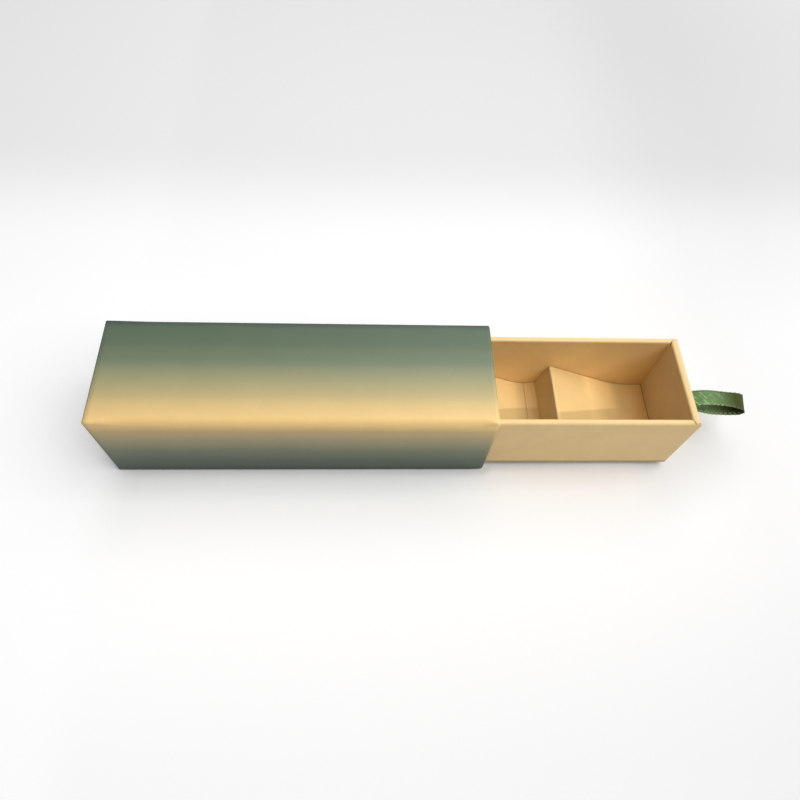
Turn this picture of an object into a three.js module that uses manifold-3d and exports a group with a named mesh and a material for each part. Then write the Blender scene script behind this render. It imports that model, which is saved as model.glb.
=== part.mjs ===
// Sliding drawer gift box: a wrapped greyboard sleeve, closed at its left end, and a wrapped tray
// that slides out of its right end on a ribbon pull. Folded wedge cards lie in the tray, each with
// a steep face, a long ramp that curves out flat, and a narrow foot flap.
// Sizes are in millimetres. +X is the way the tray pulls out, -Y is the front and +Z is up.
// The origin is the centre of the sleeve's underside.
import * as THREE from 'three';
import { mergeVertices } from 'three/addons/utils/BufferGeometryUtils.js';
import Module from 'manifold-3d';

const wasm = await Module();
wasm.setup();

// Driving dimensions of the whole box
const sleeveLength = 200;
const sleeveWidth = 60;
const sleeveHeight = 56;
const trayPull = 105.2;

// Stock: boards, papers, card, ribbon and the glue between flat layers
const sleeveBoardStock = 2.4;
const trayBoardStock = 2.8;
const baseBoard = 1.5;
const facingBoard = 0.6;
const paper = 0.15;
const tapePaper = 0.08;
const glueLine = 0.04;
const insertCard = 0.4;
const ribbonThickness = 0.3;
const ribbonWidth = 10;

// Rounding of folded boards and paper. The sleeve's upper folds soften away from its closed end. The
// upper front one tightens again at the mouth, where the lower front one is pressed rounder.
const sleeveBoardRadius = 0.7;
const upperFrontRadius = 4.3;
const upperBackRadius = 1.5;
const pressedRadius = 1.9;
const mouthEase = 0.9;
const endEase = 0.7;
const endFade = 24;
const mouthFade = 9;
const rimOuterShare = 0.58;
const rimInnerShare = 0.37;
const tightFold = 0.1;
const cardFold = 0.6;

// Running clearances of the tray in the sleeve
const sideClearance = 0.3;
const trayLift = 0.3;
const topClearance = 2.85;
const endClearance = 0.5;

// Sleeve details
const mouthTurnIn = 14;
const endTurnIn = 12;
const edgeMargin = 1.5;
const mouthMitreInset = 1.8;
const linerGap = 0.3;
const seamSlit = 0.2;
const seamInset = 8;
const boardJoint = 0.2;
const cornerTapeLeg = 12;

// Tray details
const stayLeg = 12;
const stayMargin = 1;
const mitreSlit = 0.42;
const mitreShare = 0.86;
const mitreRun = 1.7;
const mitreDrop = 2.2;
const nickSlit = 0.3;
const nickRun = 1.4;
const cornerSeamInset = 0.8;
const cornerSeamSlit = 0.1;
const baseLap = 5;
const floorMargin = 0.3;

// Ribbon loop, its slot in the tray's pull end, and its glued tails
const slotRise = 22.0;
const slotWidth = 10.8;
const slotHeight = 1.4;
const strandPitch = 0.7;
const loopReach = 43.6;
const loopRise = 6.1;
const tailLength = 12;
const patchMargin = 3;
const ribbonBend = 0.45;

// Wedge cards
const ridgeHeight = 20.5;
const steepRun = 4.5;
const footHeight = 2.0;
const flapRun = 6.7;
const rampAngle = 24.5;
const rampRadius = 40;
const flatRun = 8.2;
const cardSideGap = 0.3;
const cardEndGap = 0.3;

// Smoothness
const arcStep = 15;
const plainCornerSteps = 3;
const foldCornerSteps = 6;
const fadeSteps = 5;
const rampStep = 4;
const loopSteps = 44;
const cutOverrun = 0.5;

// Layers that add up
const underWrap = glueLine + tapePaper + glueLine;
const wrapToBoard = paper + underWrap;
const sleeveWall = wrapToBoard + sleeveBoardStock + glueLine + paper;
const sleeveFloor = paper + glueLine + sleeveWall;
const sleeveEnd = paper + glueLine + paper + glueLine + sleeveBoardStock + glueLine + paper;
const trayRim = wrapToBoard + trayBoardStock + glueLine + paper;
const ribbonGap = glueLine + ribbonThickness + glueLine + tapePaper + glueLine;
const pullRimExtra = ribbonGap + facingBoard;
const pullRim = trayRim + pullRimExtra;

// Outer sizes that follow
const wrapBottom = paper + glueLine;
const wrapHeight = sleeveHeight - wrapBottom;
const mouthX = sleeveLength / 2;
const backX = -sleeveLength / 2;
const trayWidth = sleeveWidth - 2 * sleeveWall - 2 * sideClearance;
const trayHeight = sleeveHeight - sleeveFloor - sleeveWall - trayLift - topClearance;
const trayLength = sleeveLength - sleeveEnd - endClearance;
const trayBottom = sleeveFloor + trayLift;
const trayFloor = paper + glueLine + baseBoard + glueLine + paper;

const colours = {
  print: 0x8f9b78,
  kraft: 0xe2b880,
  board: 0x9a948a,
  tape: 0xc9b48c,
  lining: 0xd9b27c,
  card: 0xe6bc82,
  ribbon: 0x6f9a62,
};

function material(colour, roughness) {
  return new THREE.MeshStandardMaterial({ color: colour, roughness, metalness: 0 });
}

// A polyline through corners [x, y, radius], with a true arc at each inner corner that has a radius.
function filleted(corners, step = arcStep) {
  const points = corners.map(([x, y]) => new THREE.Vector2(x, y));
  return points.flatMap((corner, i) => {
    const radius = corners[i][2] ?? 0;
    if (radius === 0) return [corner];
    const inward = corner.clone().sub(points[i - 1]).normalize();
    const outward = points[i + 1].clone().sub(corner).normalize();
    const turn = Math.atan2(inward.cross(outward), inward.dot(outward));
    const reach = radius * Math.tan(Math.abs(turn) / 2);
    const side = Math.sign(turn);
    const centre = corner.clone().addScaledVector(inward, -reach);
    centre.add(new THREE.Vector2(-inward.y, inward.x).multiplyScalar(side * radius));
    const start = Math.atan2(inward.y, inward.x) - side * Math.PI / 2;
    const steps = Math.max(2, Math.ceil(THREE.MathUtils.radToDeg(Math.abs(turn)) / step));
    return Array.from({ length: steps + 1 }, (_, k) => {
      const angle = start + turn * k / steps;
      return new THREE.Vector2(radius * Math.cos(angle), radius * Math.sin(angle)).add(centre);
    });
  });
}

// The outline of a strip along a path: out along one face and back along the other.
function strip(path, thickness) {
  const normals = path.slice(1).map((point, i) => {
    const along = point.clone().sub(path[i]).normalize();
    return new THREE.Vector2(-along.y, along.x);
  });
  const offsets = path.map((_, i) => {
    const before = normals[Math.max(i - 1, 0)];
    const after = normals[Math.min(i, normals.length - 1)];
    const middle = before.clone().add(after).normalize();
    return middle.multiplyScalar(thickness / 2 / middle.dot(before));
  });
  const left = path.map((point, i) => point.clone().add(offsets[i]));
  const right = path.map((point, i) => point.clone().sub(offsets[i]));
  return [...left, ...right.reverse()];
}

// Points round a rectangle centred on its own origin. Its corners start at +X, +Y, go round
// anticlockwise, and each has its own radius.
function roundedRectangle(width, height, radii, steps = plainCornerSteps) {
  const corners = [[1, 1], [-1, 1], [-1, -1], [1, -1]];
  return corners.flatMap(([xSide, ySide], quarter) => {
    const radius = radii[quarter];
    const centre = new THREE.Vector2(xSide * (width / 2 - radius), ySide * (height / 2 - radius));
    return Array.from({ length: steps + 1 }, (_, k) => {
      const angle = (quarter + k / steps) * Math.PI / 2;
      const offset = new THREE.Vector2(Math.cos(angle), Math.sin(angle)).multiplyScalar(radius);
      return offset.add(centre);
    });
  });
}

const evenCorners = (radius) => [radius, radius, radius, radius];

// A closed skin through rings of points. Its ends are capped, or its last ring joins its first.
function skin(rings, capped = false) {
  const count = rings[0].length;
  const last = (rings.length - 1) * count;
  const faces = [];
  const bands = capped ? rings.length - 1 : rings.length;
  for (let band = 0; band < bands; band++) {
    const near = band * count;
    const far = ((band + 1) % rings.length) * count;
    for (let i = 0; i < count; i++) {
      const next = (i + 1) % count;
      faces.push(near + i, near + next, far + next, near + i, far + next, far + i);
    }
  }
  for (let i = 1; capped && i < count - 1; i++) {
    faces.push(0, i + 1, i);
    faces.push(last, last + i, last + i + 1);
  }
  const geometry = new THREE.BufferGeometry();
  const positions = rings.flat().flatMap((point) => point.toArray());
  geometry.setAttribute('position', new THREE.Float32BufferAttribute(positions, 3));
  geometry.setIndex(faces);
  return facingOut(geometry);
}

// Turns the faces round if they enclose a negative volume.
function facingOut(geometry) {
  const corners = geometry.attributes.position;
  const index = Array.from(geometry.index.array);
  const [a, b, c] = [new THREE.Vector3(), new THREE.Vector3(), new THREE.Vector3()];
  let volume = 0;
  for (let i = 0; i < index.length; i += 3) {
    a.fromBufferAttribute(corners, index[i]);
    b.fromBufferAttribute(corners, index[i + 1]);
    c.fromBufferAttribute(corners, index[i + 2]);
    volume += a.dot(b.cross(c));
  }
  if (volume < 0) geometry.setIndex(index.reverse());
  return geometry;
}

function extruded(outline, depth) {
  const geometry = new THREE.ExtrudeGeometry(new THREE.Shape(outline), {
    depth,
    bevelEnabled: false,
    steps: 1,
  });
  return geometry.translate(0, 0, -depth / 2);
}

// An outline in Y and Z, run along X and centred on X = 0.
function alongX(outline, length) {
  const turn = new THREE.Matrix4().makeBasis(
    new THREE.Vector3(0, 1, 0),
    new THREE.Vector3(0, 0, 1),
    new THREE.Vector3(1, 0, 0),
  );
  return extruded(outline, length).applyMatrix4(turn);
}

// An outline in X and Z, run across Y and centred on Y = 0.
function acrossY(outline, width) {
  const turn = new THREE.Matrix4().makeBasis(
    new THREE.Vector3(1, 0, 0),
    new THREE.Vector3(0, 0, 1),
    new THREE.Vector3(0, -1, 0),
  );
  return extruded(outline, width).applyMatrix4(turn);
}

function box(low, high) {
  const size = high.map((value, i) => value - low[i]);
  const middle = high.map((value, i) => (value + low[i]) / 2);
  return new THREE.BoxGeometry(...size).translate(...middle);
}

function solidOf(geometry) {
  const plain = new THREE.BufferGeometry();
  plain.setAttribute('position', geometry.attributes.position.clone());
  if (geometry.index) plain.setIndex(geometry.index.clone());
  const merged = mergeVertices(plain);
  return new wasm.Manifold(new wasm.Mesh({
    numProp: 3,
    vertProperties: new Float32Array(merged.attributes.position.array),
    triVerts: new Uint32Array(merged.index.array),
  }));
}

function geometryOf(solid) {
  const mesh = solid.getMesh();
  const geometry = new THREE.BufferGeometry();
  geometry.setAttribute('position', new THREE.BufferAttribute(mesh.vertProperties, 3));
  geometry.setIndex(new THREE.BufferAttribute(mesh.triVerts, 1));
  return geometry;
}

function cut(geometry, tools) {
  const body = tools.reduce((left, tool) => left.subtract(solidOf(tool)), solidOf(geometry));
  return geometryOf(body);
}

function common(first, second) {
  return geometryOf(solidOf(first).intersect(solidOf(second)));
}

function part(name, geometry, colour, roughness, place = [0, 0, 0]) {
  const mesh = new THREE.Mesh(geometry, material(colour, roughness));
  mesh.name = name;
  mesh.position.set(...place);
  return mesh;
}

// The outer radii of the sleeve's folds at one X: upper back, upper front, lower front, lower back.
function foldRadii(x) {
  const { lerp, smoothstep } = THREE.MathUtils;
  const pastEnd = smoothstep(x, backX, backX + endFade);
  const nearMouth = smoothstep(x, mouthX - mouthFade, mouthX);
  const upperBack = lerp(sleeveBoardRadius, upperBackRadius, pastEnd);
  const upperFront = lerp(sleeveBoardRadius, upperFrontRadius, pastEnd * (1 - nearMouth));
  const lowerFront = lerp(sleeveBoardRadius, pressedRadius, nearMouth);
  const boardRadii = [upperBack, upperFront, lowerFront, sleeveBoardRadius];
  return boardRadii.map((radius) => radius + wrapToBoard);
}

// The sleeve's section at an inset from the outside of its printed wrap, as a ring at one X.
function sleeveRing(x, inset) {
  const radii = foldRadii(x).map((radius) => Math.max(radius - inset, tightFold));
  const middle = wrapBottom + wrapHeight / 2;
  const width = sleeveWidth - 2 * inset;
  const outline = roundedRectangle(width, wrapHeight - 2 * inset, radii, foldCornerSteps);
  return outline.map((point) => new THREE.Vector3(x, point.x, middle + point.y));
}

const fadeShares = Array.from({ length: fadeSteps }, (_, k) => (k + 1) / fadeSteps);
const foldStations = fadeShares.flatMap((share) => [
  backX + share * endFade,
  mouthX - share * mouthFade,
]);

// A skin through a closed profile of [x, inset], with rings wherever the folds change on the way.
function sleeveShell(profile) {
  const rings = profile.flatMap((point, i) => {
    const next = profile[(i + 1) % profile.length];
    const shares = foldStations.map((x) => (x - point.x) / (next.x - point.x));
    const passed = shares.filter((share) => share > 0 && share < 1).sort((a, b) => a - b);
    return [point, ...passed.map((share) => point.clone().lerp(next, share))];
  });
  return skin(rings.map((point) => sleeveRing(point.x, point.y)));
}

// Thin diagonal blades through the four corners of the sleeve's section, from one inset to another.
function sleeveCornerBlades(fromX, toX, fromInset, toInset, thickness) {
  const blades = [];
  for (const ySide of [-1, 1]) {
    for (const zSide of [-1, 1]) {
      const length = (toInset - fromInset) * Math.SQRT2;
      const blade = new THREE.BoxGeometry(toX - fromX, thickness, length);
      blade.rotateX(-ySide * zSide * Math.PI / 4);
      const inset = (fromInset + toInset) / 2;
      const y = ySide * (sleeveWidth / 2 - inset);
      const z = wrapBottom + wrapHeight / 2 + zSide * (wrapHeight / 2 - inset);
      blades.push(blade.translate((fromX + toX) / 2, y, z));
    }
  }
  return blades;
}

const mouthBoardX = mouthX - paper - glueLine;
const endFlapX = backX + paper + glueLine + paper / 2;
const endBoardX = endFlapX + paper / 2 + glueLine;
const boardInset = wrapToBoard;
const liningInset = boardInset + sleeveBoardStock + glueLine;

// One board, scored and folded round, with its closing joint along the lower back corner.
function sleeveBoard() {
  const profile = filleted([
    [endBoardX, boardInset + sleeveBoardStock / 2],
    [endBoardX, boardInset, endEase],
    [mouthBoardX, boardInset, mouthEase],
    [mouthBoardX, boardInset + sleeveBoardStock, mouthEase],
    [endBoardX, boardInset + sleeveBoardStock],
  ]);
  const blades = sleeveCornerBlades(backX, mouthX, 0, sleeveWall + cutOverrun, boardJoint);
  const lowerBack = blades[2];
  return part('sleeve_board', cut(sleeveShell(profile), [lowerBack]), colours.board, 0.95);
}

// Gummed tape folded over the board's closing joint, under the wrap.
function sleeveCornerTape() {
  const inset = paper + glueLine + tapePaper / 2;
  const y = sleeveWidth / 2 - inset;
  const z = wrapBottom + inset;
  const radius = sleeveBoardRadius + glueLine + tapePaper / 2;
  const path = filleted([[y - cornerTapeLeg, z], [y, z, radius], [y, z + cornerTapeLeg]]);
  const from = endBoardX + endEase;
  const to = mouthBoardX - mouthEase;
  const tape = alongX(strip(path, tapePaper), to - from);
  const place = [(from + to) / 2, 0, 0];
  return part('sleeve_corner_tape', tape, colours.tape, 0.8, place);
}

function sleeveInnerPlate(inset, thickness) {
  const width = sleeveWidth - 2 * inset;
  const height = wrapHeight - 2 * inset;
  return alongX(roundedRectangle(width, height, evenCorners(tightFold)), thickness);
}

function sleeveEndBoard() {
  const plate = sleeveInnerPlate(boardInset + sleeveBoardStock + glueLine, sleeveBoardStock);
  const place = [endBoardX + sleeveBoardStock / 2, 0, wrapBottom + wrapHeight / 2];
  return part('sleeve_end_board', plate, colours.board, 0.95, place);
}

// The printed sheet: round the sleeve, over the mouth's edge, and turned over the end board.
function sleeveWrap() {
  const outside = paper / 2;
  const endFold = endEase + glueLine + paper / 2;
  const mouthFold = mouthEase + glueLine + paper / 2;
  const turned = liningInset + paper / 2;
  const profile = strip(filleted([
    [endFlapX, endTurnIn],
    [endFlapX, outside, endFold],
    [mouthX - paper / 2, outside, mouthFold],
    [mouthX - paper / 2, turned, mouthFold],
    [mouthX - mouthTurnIn, turned],
  ]), paper);
  const endMitres = sleeveCornerBlades(
    backX, endBoardX - glueLine / 2, edgeMargin, endTurnIn + cutOverrun, seamSlit,
  );
  const mouthMitres = sleeveCornerBlades(
    mouthX - mouthTurnIn - cutOverrun, mouthX + cutOverrun,
    mouthMitreInset, sleeveWall + cutOverrun, seamSlit,
  );
  const seamY = sleeveWidth / 2 - seamInset;
  const seam = box(
    [backX - cutOverrun, seamY - seamSlit / 2, -cutOverrun],
    [mouthX + cutOverrun, seamY + seamSlit / 2, sleeveFloor + cutOverrun],
  );
  const shell = cut(sleeveShell(profile), [...endMitres, ...mouthMitres, seam]);
  return part('sleeve_wrap', shell, colours.print, 0.45);
}

function sleeveEndPaper() {
  const width = sleeveWidth - 2 * edgeMargin;
  const height = wrapHeight - 2 * edgeMargin;
  const outline = roundedRectangle(width, height, evenCorners(sleeveBoardRadius));
  const sheet = alongX(outline, paper);
  const place = [backX + paper / 2, 0, wrapBottom + wrapHeight / 2];
  return part('sleeve_end_paper', sheet, colours.print, 0.45, place);
}

function sleeveBaseSheet() {
  const x = sleeveLength / 2 - edgeMargin;
  const y = sleeveWidth / 2 - edgeMargin;
  const sheet = box([-x, -y, 0], [x, y, paper]);
  return part('sleeve_base_sheet', sheet, colours.print, 0.5);
}

function sleeveLiner() {
  const from = endBoardX + sleeveBoardStock + glueLine + paper + glueLine;
  const to = mouthX - mouthTurnIn - linerGap;
  const profile = [
    new THREE.Vector2(from, liningInset),
    new THREE.Vector2(to, liningInset),
    new THREE.Vector2(to, liningInset + paper),
    new THREE.Vector2(from, liningInset + paper),
  ];
  return part('sleeve_liner', sleeveShell(profile), colours.lining, 0.8);
}

function sleeveEndLiner() {
  const sheet = sleeveInnerPlate(liningInset + glueLine, paper);
  const x = endBoardX + sleeveBoardStock + glueLine + paper / 2;
  return part('sleeve_end_liner', sheet, colours.lining, 0.8, [x, 0, wrapBottom + wrapHeight / 2]);
}

// The tray's own frame: X = 0 in the middle of its length, Z = 0 under its wrap.
const pullX = trayLength / 2;
const hiddenX = -trayLength / 2;
const boardLow = paper + glueLine;
const boardHigh = trayHeight - paper - glueLine;
const sideInnerY = trayWidth / 2 - wrapToBoard - trayBoardStock;

// The tray's boards are sanded round along the rim, more on the outside, and the wrap rolls over them.
const rimOuterEase = trayBoardStock * rimOuterShare;
const rimInnerEase = trayBoardStock * rimInnerShare;
const rimOuterFold = rimOuterEase + glueLine + paper / 2;
const rimInnerFold = rimInnerEase + glueLine + paper / 2;
const rimMiddle = (trayRim + rimOuterFold - rimInnerFold) / 2;

// A plan ring of the tray's wrap at one height. Past the rim's middle, the pull end is wider.
function trayRing(inset, z) {
  const radius = Math.max(tightFold + paper - inset, tightFold);
  const extra = inset > rimMiddle ? pullRimExtra : 0;
  const length = trayLength - 2 * inset - extra;
  const outline = roundedRectangle(length, trayWidth - 2 * inset, evenCorners(radius));
  return outline.map((point) => new THREE.Vector3(point.x - extra / 2, point.y, z));
}

// Thin blades where the wrap's turn-ins meet over the rim's corners, from inside the tray outwards.
function rimMitres() {
  const blades = [];
  for (const ySide of [-1, 1]) {
    for (const [endX, rim, xSide] of [[pullX, pullRim, 1], [hiddenX, trayRim, -1]]) {
      const inner = new THREE.Vector2(endX - xSide * rim, ySide * (trayWidth / 2 - trayRim));
      const outerX = inner.x + xSide * mitreRun;
      const outer = new THREE.Vector2(outerX, ySide * trayWidth / 2);
      const along = outer.clone().sub(inner);
      const start = inner.clone().addScaledVector(along.clone().normalize(), -cutOverrun);
      const end = inner.clone().addScaledVector(along, mitreShare);
      const middle = start.clone().add(end).divideScalar(2);
      const height = mitreDrop + cutOverrun;
      const blade = new THREE.BoxGeometry(start.distanceTo(end), mitreSlit, height);
      blade.rotateZ(along.angle());
      blades.push(blade.translate(middle.x, middle.y, trayHeight - mitreDrop + height / 2));
    }
  }
  return blades;
}

// The upright edges of the wrap's end panels, which lie over the side panels' corner tabs.
function cornerSeams() {
  const top = trayHeight - trayRim;
  return [-1, 1].flatMap((xSide) => [-1, 1].map((ySide) => {
    const seam = new THREE.BoxGeometry(wrapToBoard, cornerSeamSlit, top - wrapToBoard);
    const y = ySide * (trayWidth / 2 - cornerSeamInset);
    return seam.translate(xSide * trayLength / 2, y, (top + wrapToBoard) / 2);
  }));
}

// Where those edges carry on over the rim, as short nicks in its ends.
function rimNicks() {
  return [-1, 1].flatMap((xSide) => [-1, 1].map((ySide) => {
    const nick = new THREE.BoxGeometry(2 * nickRun, nickSlit, trayRim + cutOverrun);
    const y = ySide * (trayWidth / 2 - cornerSeamInset);
    return nick.translate(xSide * trayLength / 2, y, trayHeight - (trayRim - cutOverrun) / 2);
  }));
}

function slotCutter() {
  const from = pullX - wrapToBoard - trayBoardStock - cutOverrun / 2;
  return box(
    [from, -slotWidth / 2, slotRise - slotHeight / 2],
    [pullX + cutOverrun, slotWidth / 2, slotRise + slotHeight / 2],
  );
}

// One sheet under and round the tray, rolled over the rim and turned down inside to the floor.
function trayWrap() {
  const turned = trayRim - paper / 2;
  const rimZ = trayHeight - paper / 2;
  const fold = tightFold + paper / 2;
  const profile = strip(filleted([
    [baseLap, paper / 2],
    [paper / 2, paper / 2, fold],
    [paper / 2, rimZ, rimOuterFold],
    [turned, rimZ, rimInnerFold],
    [turned, trayFloor + floorMargin],
  ]), paper);
  const shell = skin(profile.map((point) => trayRing(point.x, point.y)), true);
  const cuts = [...rimMitres(), ...rimNicks(), ...cornerSeams(), slotCutter()];
  return part('tray_wrap', cut(shell, cuts), colours.kraft, 0.6);
}

function trayBaseBoard() {
  const y = sideInnerY - glueLine;
  const fromX = hiddenX + wrapToBoard + trayBoardStock + glueLine;
  const toX = pullX - wrapToBoard - trayBoardStock - glueLine;
  const board = box([fromX, -y, boardLow], [toX, y, boardLow + baseBoard]);
  return part('tray_base_board', board, colours.board, 0.95);
}

// A board standing on its edge, seen from one side, with the ease of its two upper corners.
function uprightOutline(width, leftEase, rightEase) {
  return filleted([
    [-width / 2, boardLow],
    [width / 2, boardLow],
    [width / 2, boardHigh, rightEase],
    [-width / 2, boardHigh, leftEase],
    [-width / 2, boardLow],
  ]).slice(0, -1);
}

// A wall's section, with its outer side towards plus or minus.
function wallOutline(outwards) {
  const eases = [rimInnerEase, rimOuterEase];
  return uprightOutline(trayBoardStock, ...(outwards > 0 ? eases : eases.reverse()));
}

// The long side boards run the whole length, eased along the rim and at both ends.
function traySideBoard(name, side) {
  const length = trayLength - 2 * wrapToBoard;
  const along = alongX(wallOutline(side), length);
  const ends = acrossY(uprightOutline(length, rimOuterEase, rimOuterEase), trayBoardStock + cutOverrun);
  const place = [0, side * (sideInnerY + trayBoardStock / 2), 0];
  return part(name, common(along, ends), colours.board, 0.95, place);
}

function endWall(outwards) {
  return acrossY(wallOutline(outwards), 2 * (sideInnerY - glueLine));
}

function trayInnerEndBoard() {
  const place = [hiddenX + wrapToBoard + trayBoardStock / 2, 0, 0];
  return part('tray_inner_end_board', endWall(-1), colours.board, 0.95, place);
}

function trayPullEndBoard() {
  const x = pullX - wrapToBoard - trayBoardStock / 2;
  const wall = endWall(1).translate(x, 0, 0);
  return part('tray_pull_end_board', cut(wall, [slotCutter()]), colours.board, 0.95);
}

// The thin board glued over the ribbon's tails, up to where the rim's fold starts.
function trayPullFacing() {
  const outerX = pullX - wrapToBoard - trayBoardStock - ribbonGap;
  const y = sideInnerY - glueLine;
  const [low, high] = [boardLow + baseBoard + glueLine, boardHigh - rimInnerEase];
  const board = box([outerX - facingBoard, -y, low], [outerX, y, high]);
  return part('tray_pull_facing', board, colours.board, 0.95);
}

// Gummed paper folded round one upright corner of the boards, under the wrap.
function trayStay(name, xSide, ySide) {
  const inset = paper + glueLine + tapePaper / 2;
  const x = xSide * (trayLength / 2 - inset);
  const y = ySide * (trayWidth / 2 - inset);
  const path = [
    new THREE.Vector2(x - xSide * stayLeg, y),
    new THREE.Vector2(x, y),
    new THREE.Vector2(x, y - ySide * stayLeg),
  ];
  const [low, high] = [boardLow + stayMargin, boardHigh - rimOuterEase];
  const stay = extruded(strip(path, tapePaper), high - low);
  return part(name, stay, colours.tape, 0.8, [0, 0, (low + high) / 2]);
}

function trayFloorPaper() {
  const y = trayWidth / 2 - trayRim - floorMargin;
  const fromX = hiddenX + trayRim + floorMargin;
  const toX = pullX - pullRim - floorMargin;
  const sheet = box([fromX, -y, trayFloor - paper], [toX, y, trayFloor]);
  return part('tray_floor_paper', sheet, colours.lining, 0.8);
}

// Route of the loop's middle line, out along the top and back below: [reach share, rise share].
const loopShares = [
  [0.05, 0.1], [0.12, 0.36], [0.22, 0.66], [0.34, 0.85], [0.47, 0.89], [0.6, 0.76], [0.73, 0.57],
  [0.85, 0.4], [0.94, 0.14], [0.99, -0.2], [0.98, -0.54], [0.93, -0.8], [0.84, -0.96],
  [0.74, -1.0], [0.64, -0.97], [0.54, -0.83], [0.46, -0.62], [0.38, -0.42], [0.28, -0.26],
  [0.15, -0.16], [0.05, -0.1],
];

// One length of ribbon: a glued tail, out through the slot, round the loop, back in, and a tail.
function ribbonPath() {
  const outerFace = pullX;
  const tailX = pullX - wrapToBoard - trayBoardStock - glueLine - ribbonThickness / 2;
  const [high, low] = [slotRise + strandPitch / 2, slotRise - strandPitch / 2];
  const lead = loopReach * loopShares[0][0] / 2;
  const start = filleted([
    [tailX, high + tailLength],
    [tailX, high, ribbonBend],
    [outerFace + lead / 2, high],
  ]);
  const finish = filleted([
    [outerFace + lead / 2, low],
    [tailX, low, ribbonBend],
    [tailX, low - tailLength],
  ]);
  const knots = [
    new THREE.Vector2(outerFace + lead, high),
    ...loopShares.map(([reach, rise]) => new THREE.Vector2(
      outerFace + loopReach * reach,
      slotRise + loopRise * rise,
    )),
    new THREE.Vector2(outerFace + lead, low),
  ];
  const loop = new THREE.SplineCurve(knots).getPoints(loopSteps);
  return [...start, ...loop, ...finish];
}

function ribbonPull() {
  const loop = acrossY(strip(ribbonPath(), ribbonThickness), ribbonWidth);
  return part('ribbon_pull', loop, colours.ribbon, 0.35);
}

// A paper patch over the ribbon's tails, behind the facing board.
function ribbonPatch() {
  const back = pullX - wrapToBoard - trayBoardStock - glueLine - ribbonThickness - glueLine;
  const y = slotWidth / 2 + patchMargin;
  const z = tailLength + patchMargin;
  const patch = box([back - tapePaper, -y, slotRise - z], [back, y, slotRise + z]);
  return part('ribbon_patch', patch, colours.tape, 0.8);
}

// The card's middle line has X = 0 at its ridge and Z = 0 on the tray's floor.
const cardRest = glueLine + insertCard / 2;
const ridgeLine = ridgeHeight - insertCard / 2;
const rampSlope = THREE.MathUtils.degToRad(rampAngle);
const rampRun = (ridgeLine - cardRest) / Math.tan(rampSlope);
const curveEnd = rampRun + rampRadius * Math.tan(rampSlope / 2);
const cardRight = curveEnd + flatRun;
const cardLeft = -steepRun - flapRun;

// As many cards as fit with each steep face past the next card's curve, spread over the tray.
const innerLength = trayLength - trayRim - pullRim;
const spreadLength = innerLength - (cardRight - cardLeft) - 2 * cardEndGap;
const cardCount = 1 + Math.max(0, Math.floor(spreadLength / (curveEnd + steepRun)));
const cardPitch = spreadLength / Math.max(1, cardCount - 1);

// The foot flap lies on the end of the next card's ramp, so it starts above that ramp's curve.
function wedgePath() {
  const overCurve = Math.max(0, curveEnd - cardPitch - cardLeft);
  const curveRise = rampRadius - Math.sqrt(rampRadius ** 2 - overCurve ** 2);
  const lapped = cardRest + curveRise + insertCard + glueLine;
  const steep = filleted([
    [cardLeft, lapped],
    [-steepRun, footHeight, cardFold],
    [0, ridgeLine, cardFold],
    [rampRun / 2, (ridgeLine + cardRest) / 2],
  ], 2 * arcStep);
  const ramp = filleted([
    [rampRun / 2, (ridgeLine + cardRest) / 2],
    [rampRun, cardRest, rampRadius],
    [cardRight, cardRest],
  ], rampStep);
  return [...steep.slice(0, -1), ...ramp.slice(1)];
}

function wedgeCard(number) {
  const width = trayWidth - 2 * trayRim - 2 * cardSideGap;
  const card = acrossY(strip(wedgePath(), insertCard), width);
  const firstRidge = pullX - pullRim - cardEndGap - cardRight;
  const place = [firstRidge - (number - 1) * cardPitch, 0, trayFloor];
  return part(`wedge_card_${number}`, card, colours.card, 0.65, place);
}

function sleeve() {
  const group = new THREE.Group();
  group.add(
    sleeveBoard(),
    sleeveCornerTape(),
    sleeveEndBoard(),
    sleeveWrap(),
    sleeveEndPaper(),
    sleeveBaseSheet(),
    sleeveLiner(),
    sleeveEndLiner(),
  );
  return group;
}

function tray() {
  const group = new THREE.Group();
  group.add(
    trayBaseBoard(),
    traySideBoard('tray_front_board', -1),
    traySideBoard('tray_back_board', 1),
    trayInnerEndBoard(),
    trayPullEndBoard(),
    trayPullFacing(),
    trayStay('tray_stay_pull_front', 1, -1),
    trayStay('tray_stay_pull_back', 1, 1),
    trayStay('tray_stay_inner_front', -1, -1),
    trayStay('tray_stay_inner_back', -1, 1),
    trayWrap(),
    trayFloorPaper(),
    ribbonPull(),
    ribbonPatch(),
  );
  for (let number = 1; number <= cardCount; number++) group.add(wedgeCard(number));
  group.position.set(mouthX + trayPull - trayLength / 2, 0, trayBottom);
  return group;
}

const giftBox = new THREE.Group();
giftBox.add(sleeve(), tray());

export default giftBox;
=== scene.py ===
# Sliding drawer gift box: the finishes of a printed sleeve, a cream paper tray, its folded wedge
# cards and its satin ribbon pull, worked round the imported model. Lengths are in metres, +Z is up,
# +X is the way the tray pulls out and -Y is the front.
import math

import bmesh
import bpy
from bpy.props import FloatProperty, FloatVectorProperty, PointerProperty
from mathutils import Color, Matrix, Vector


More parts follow.
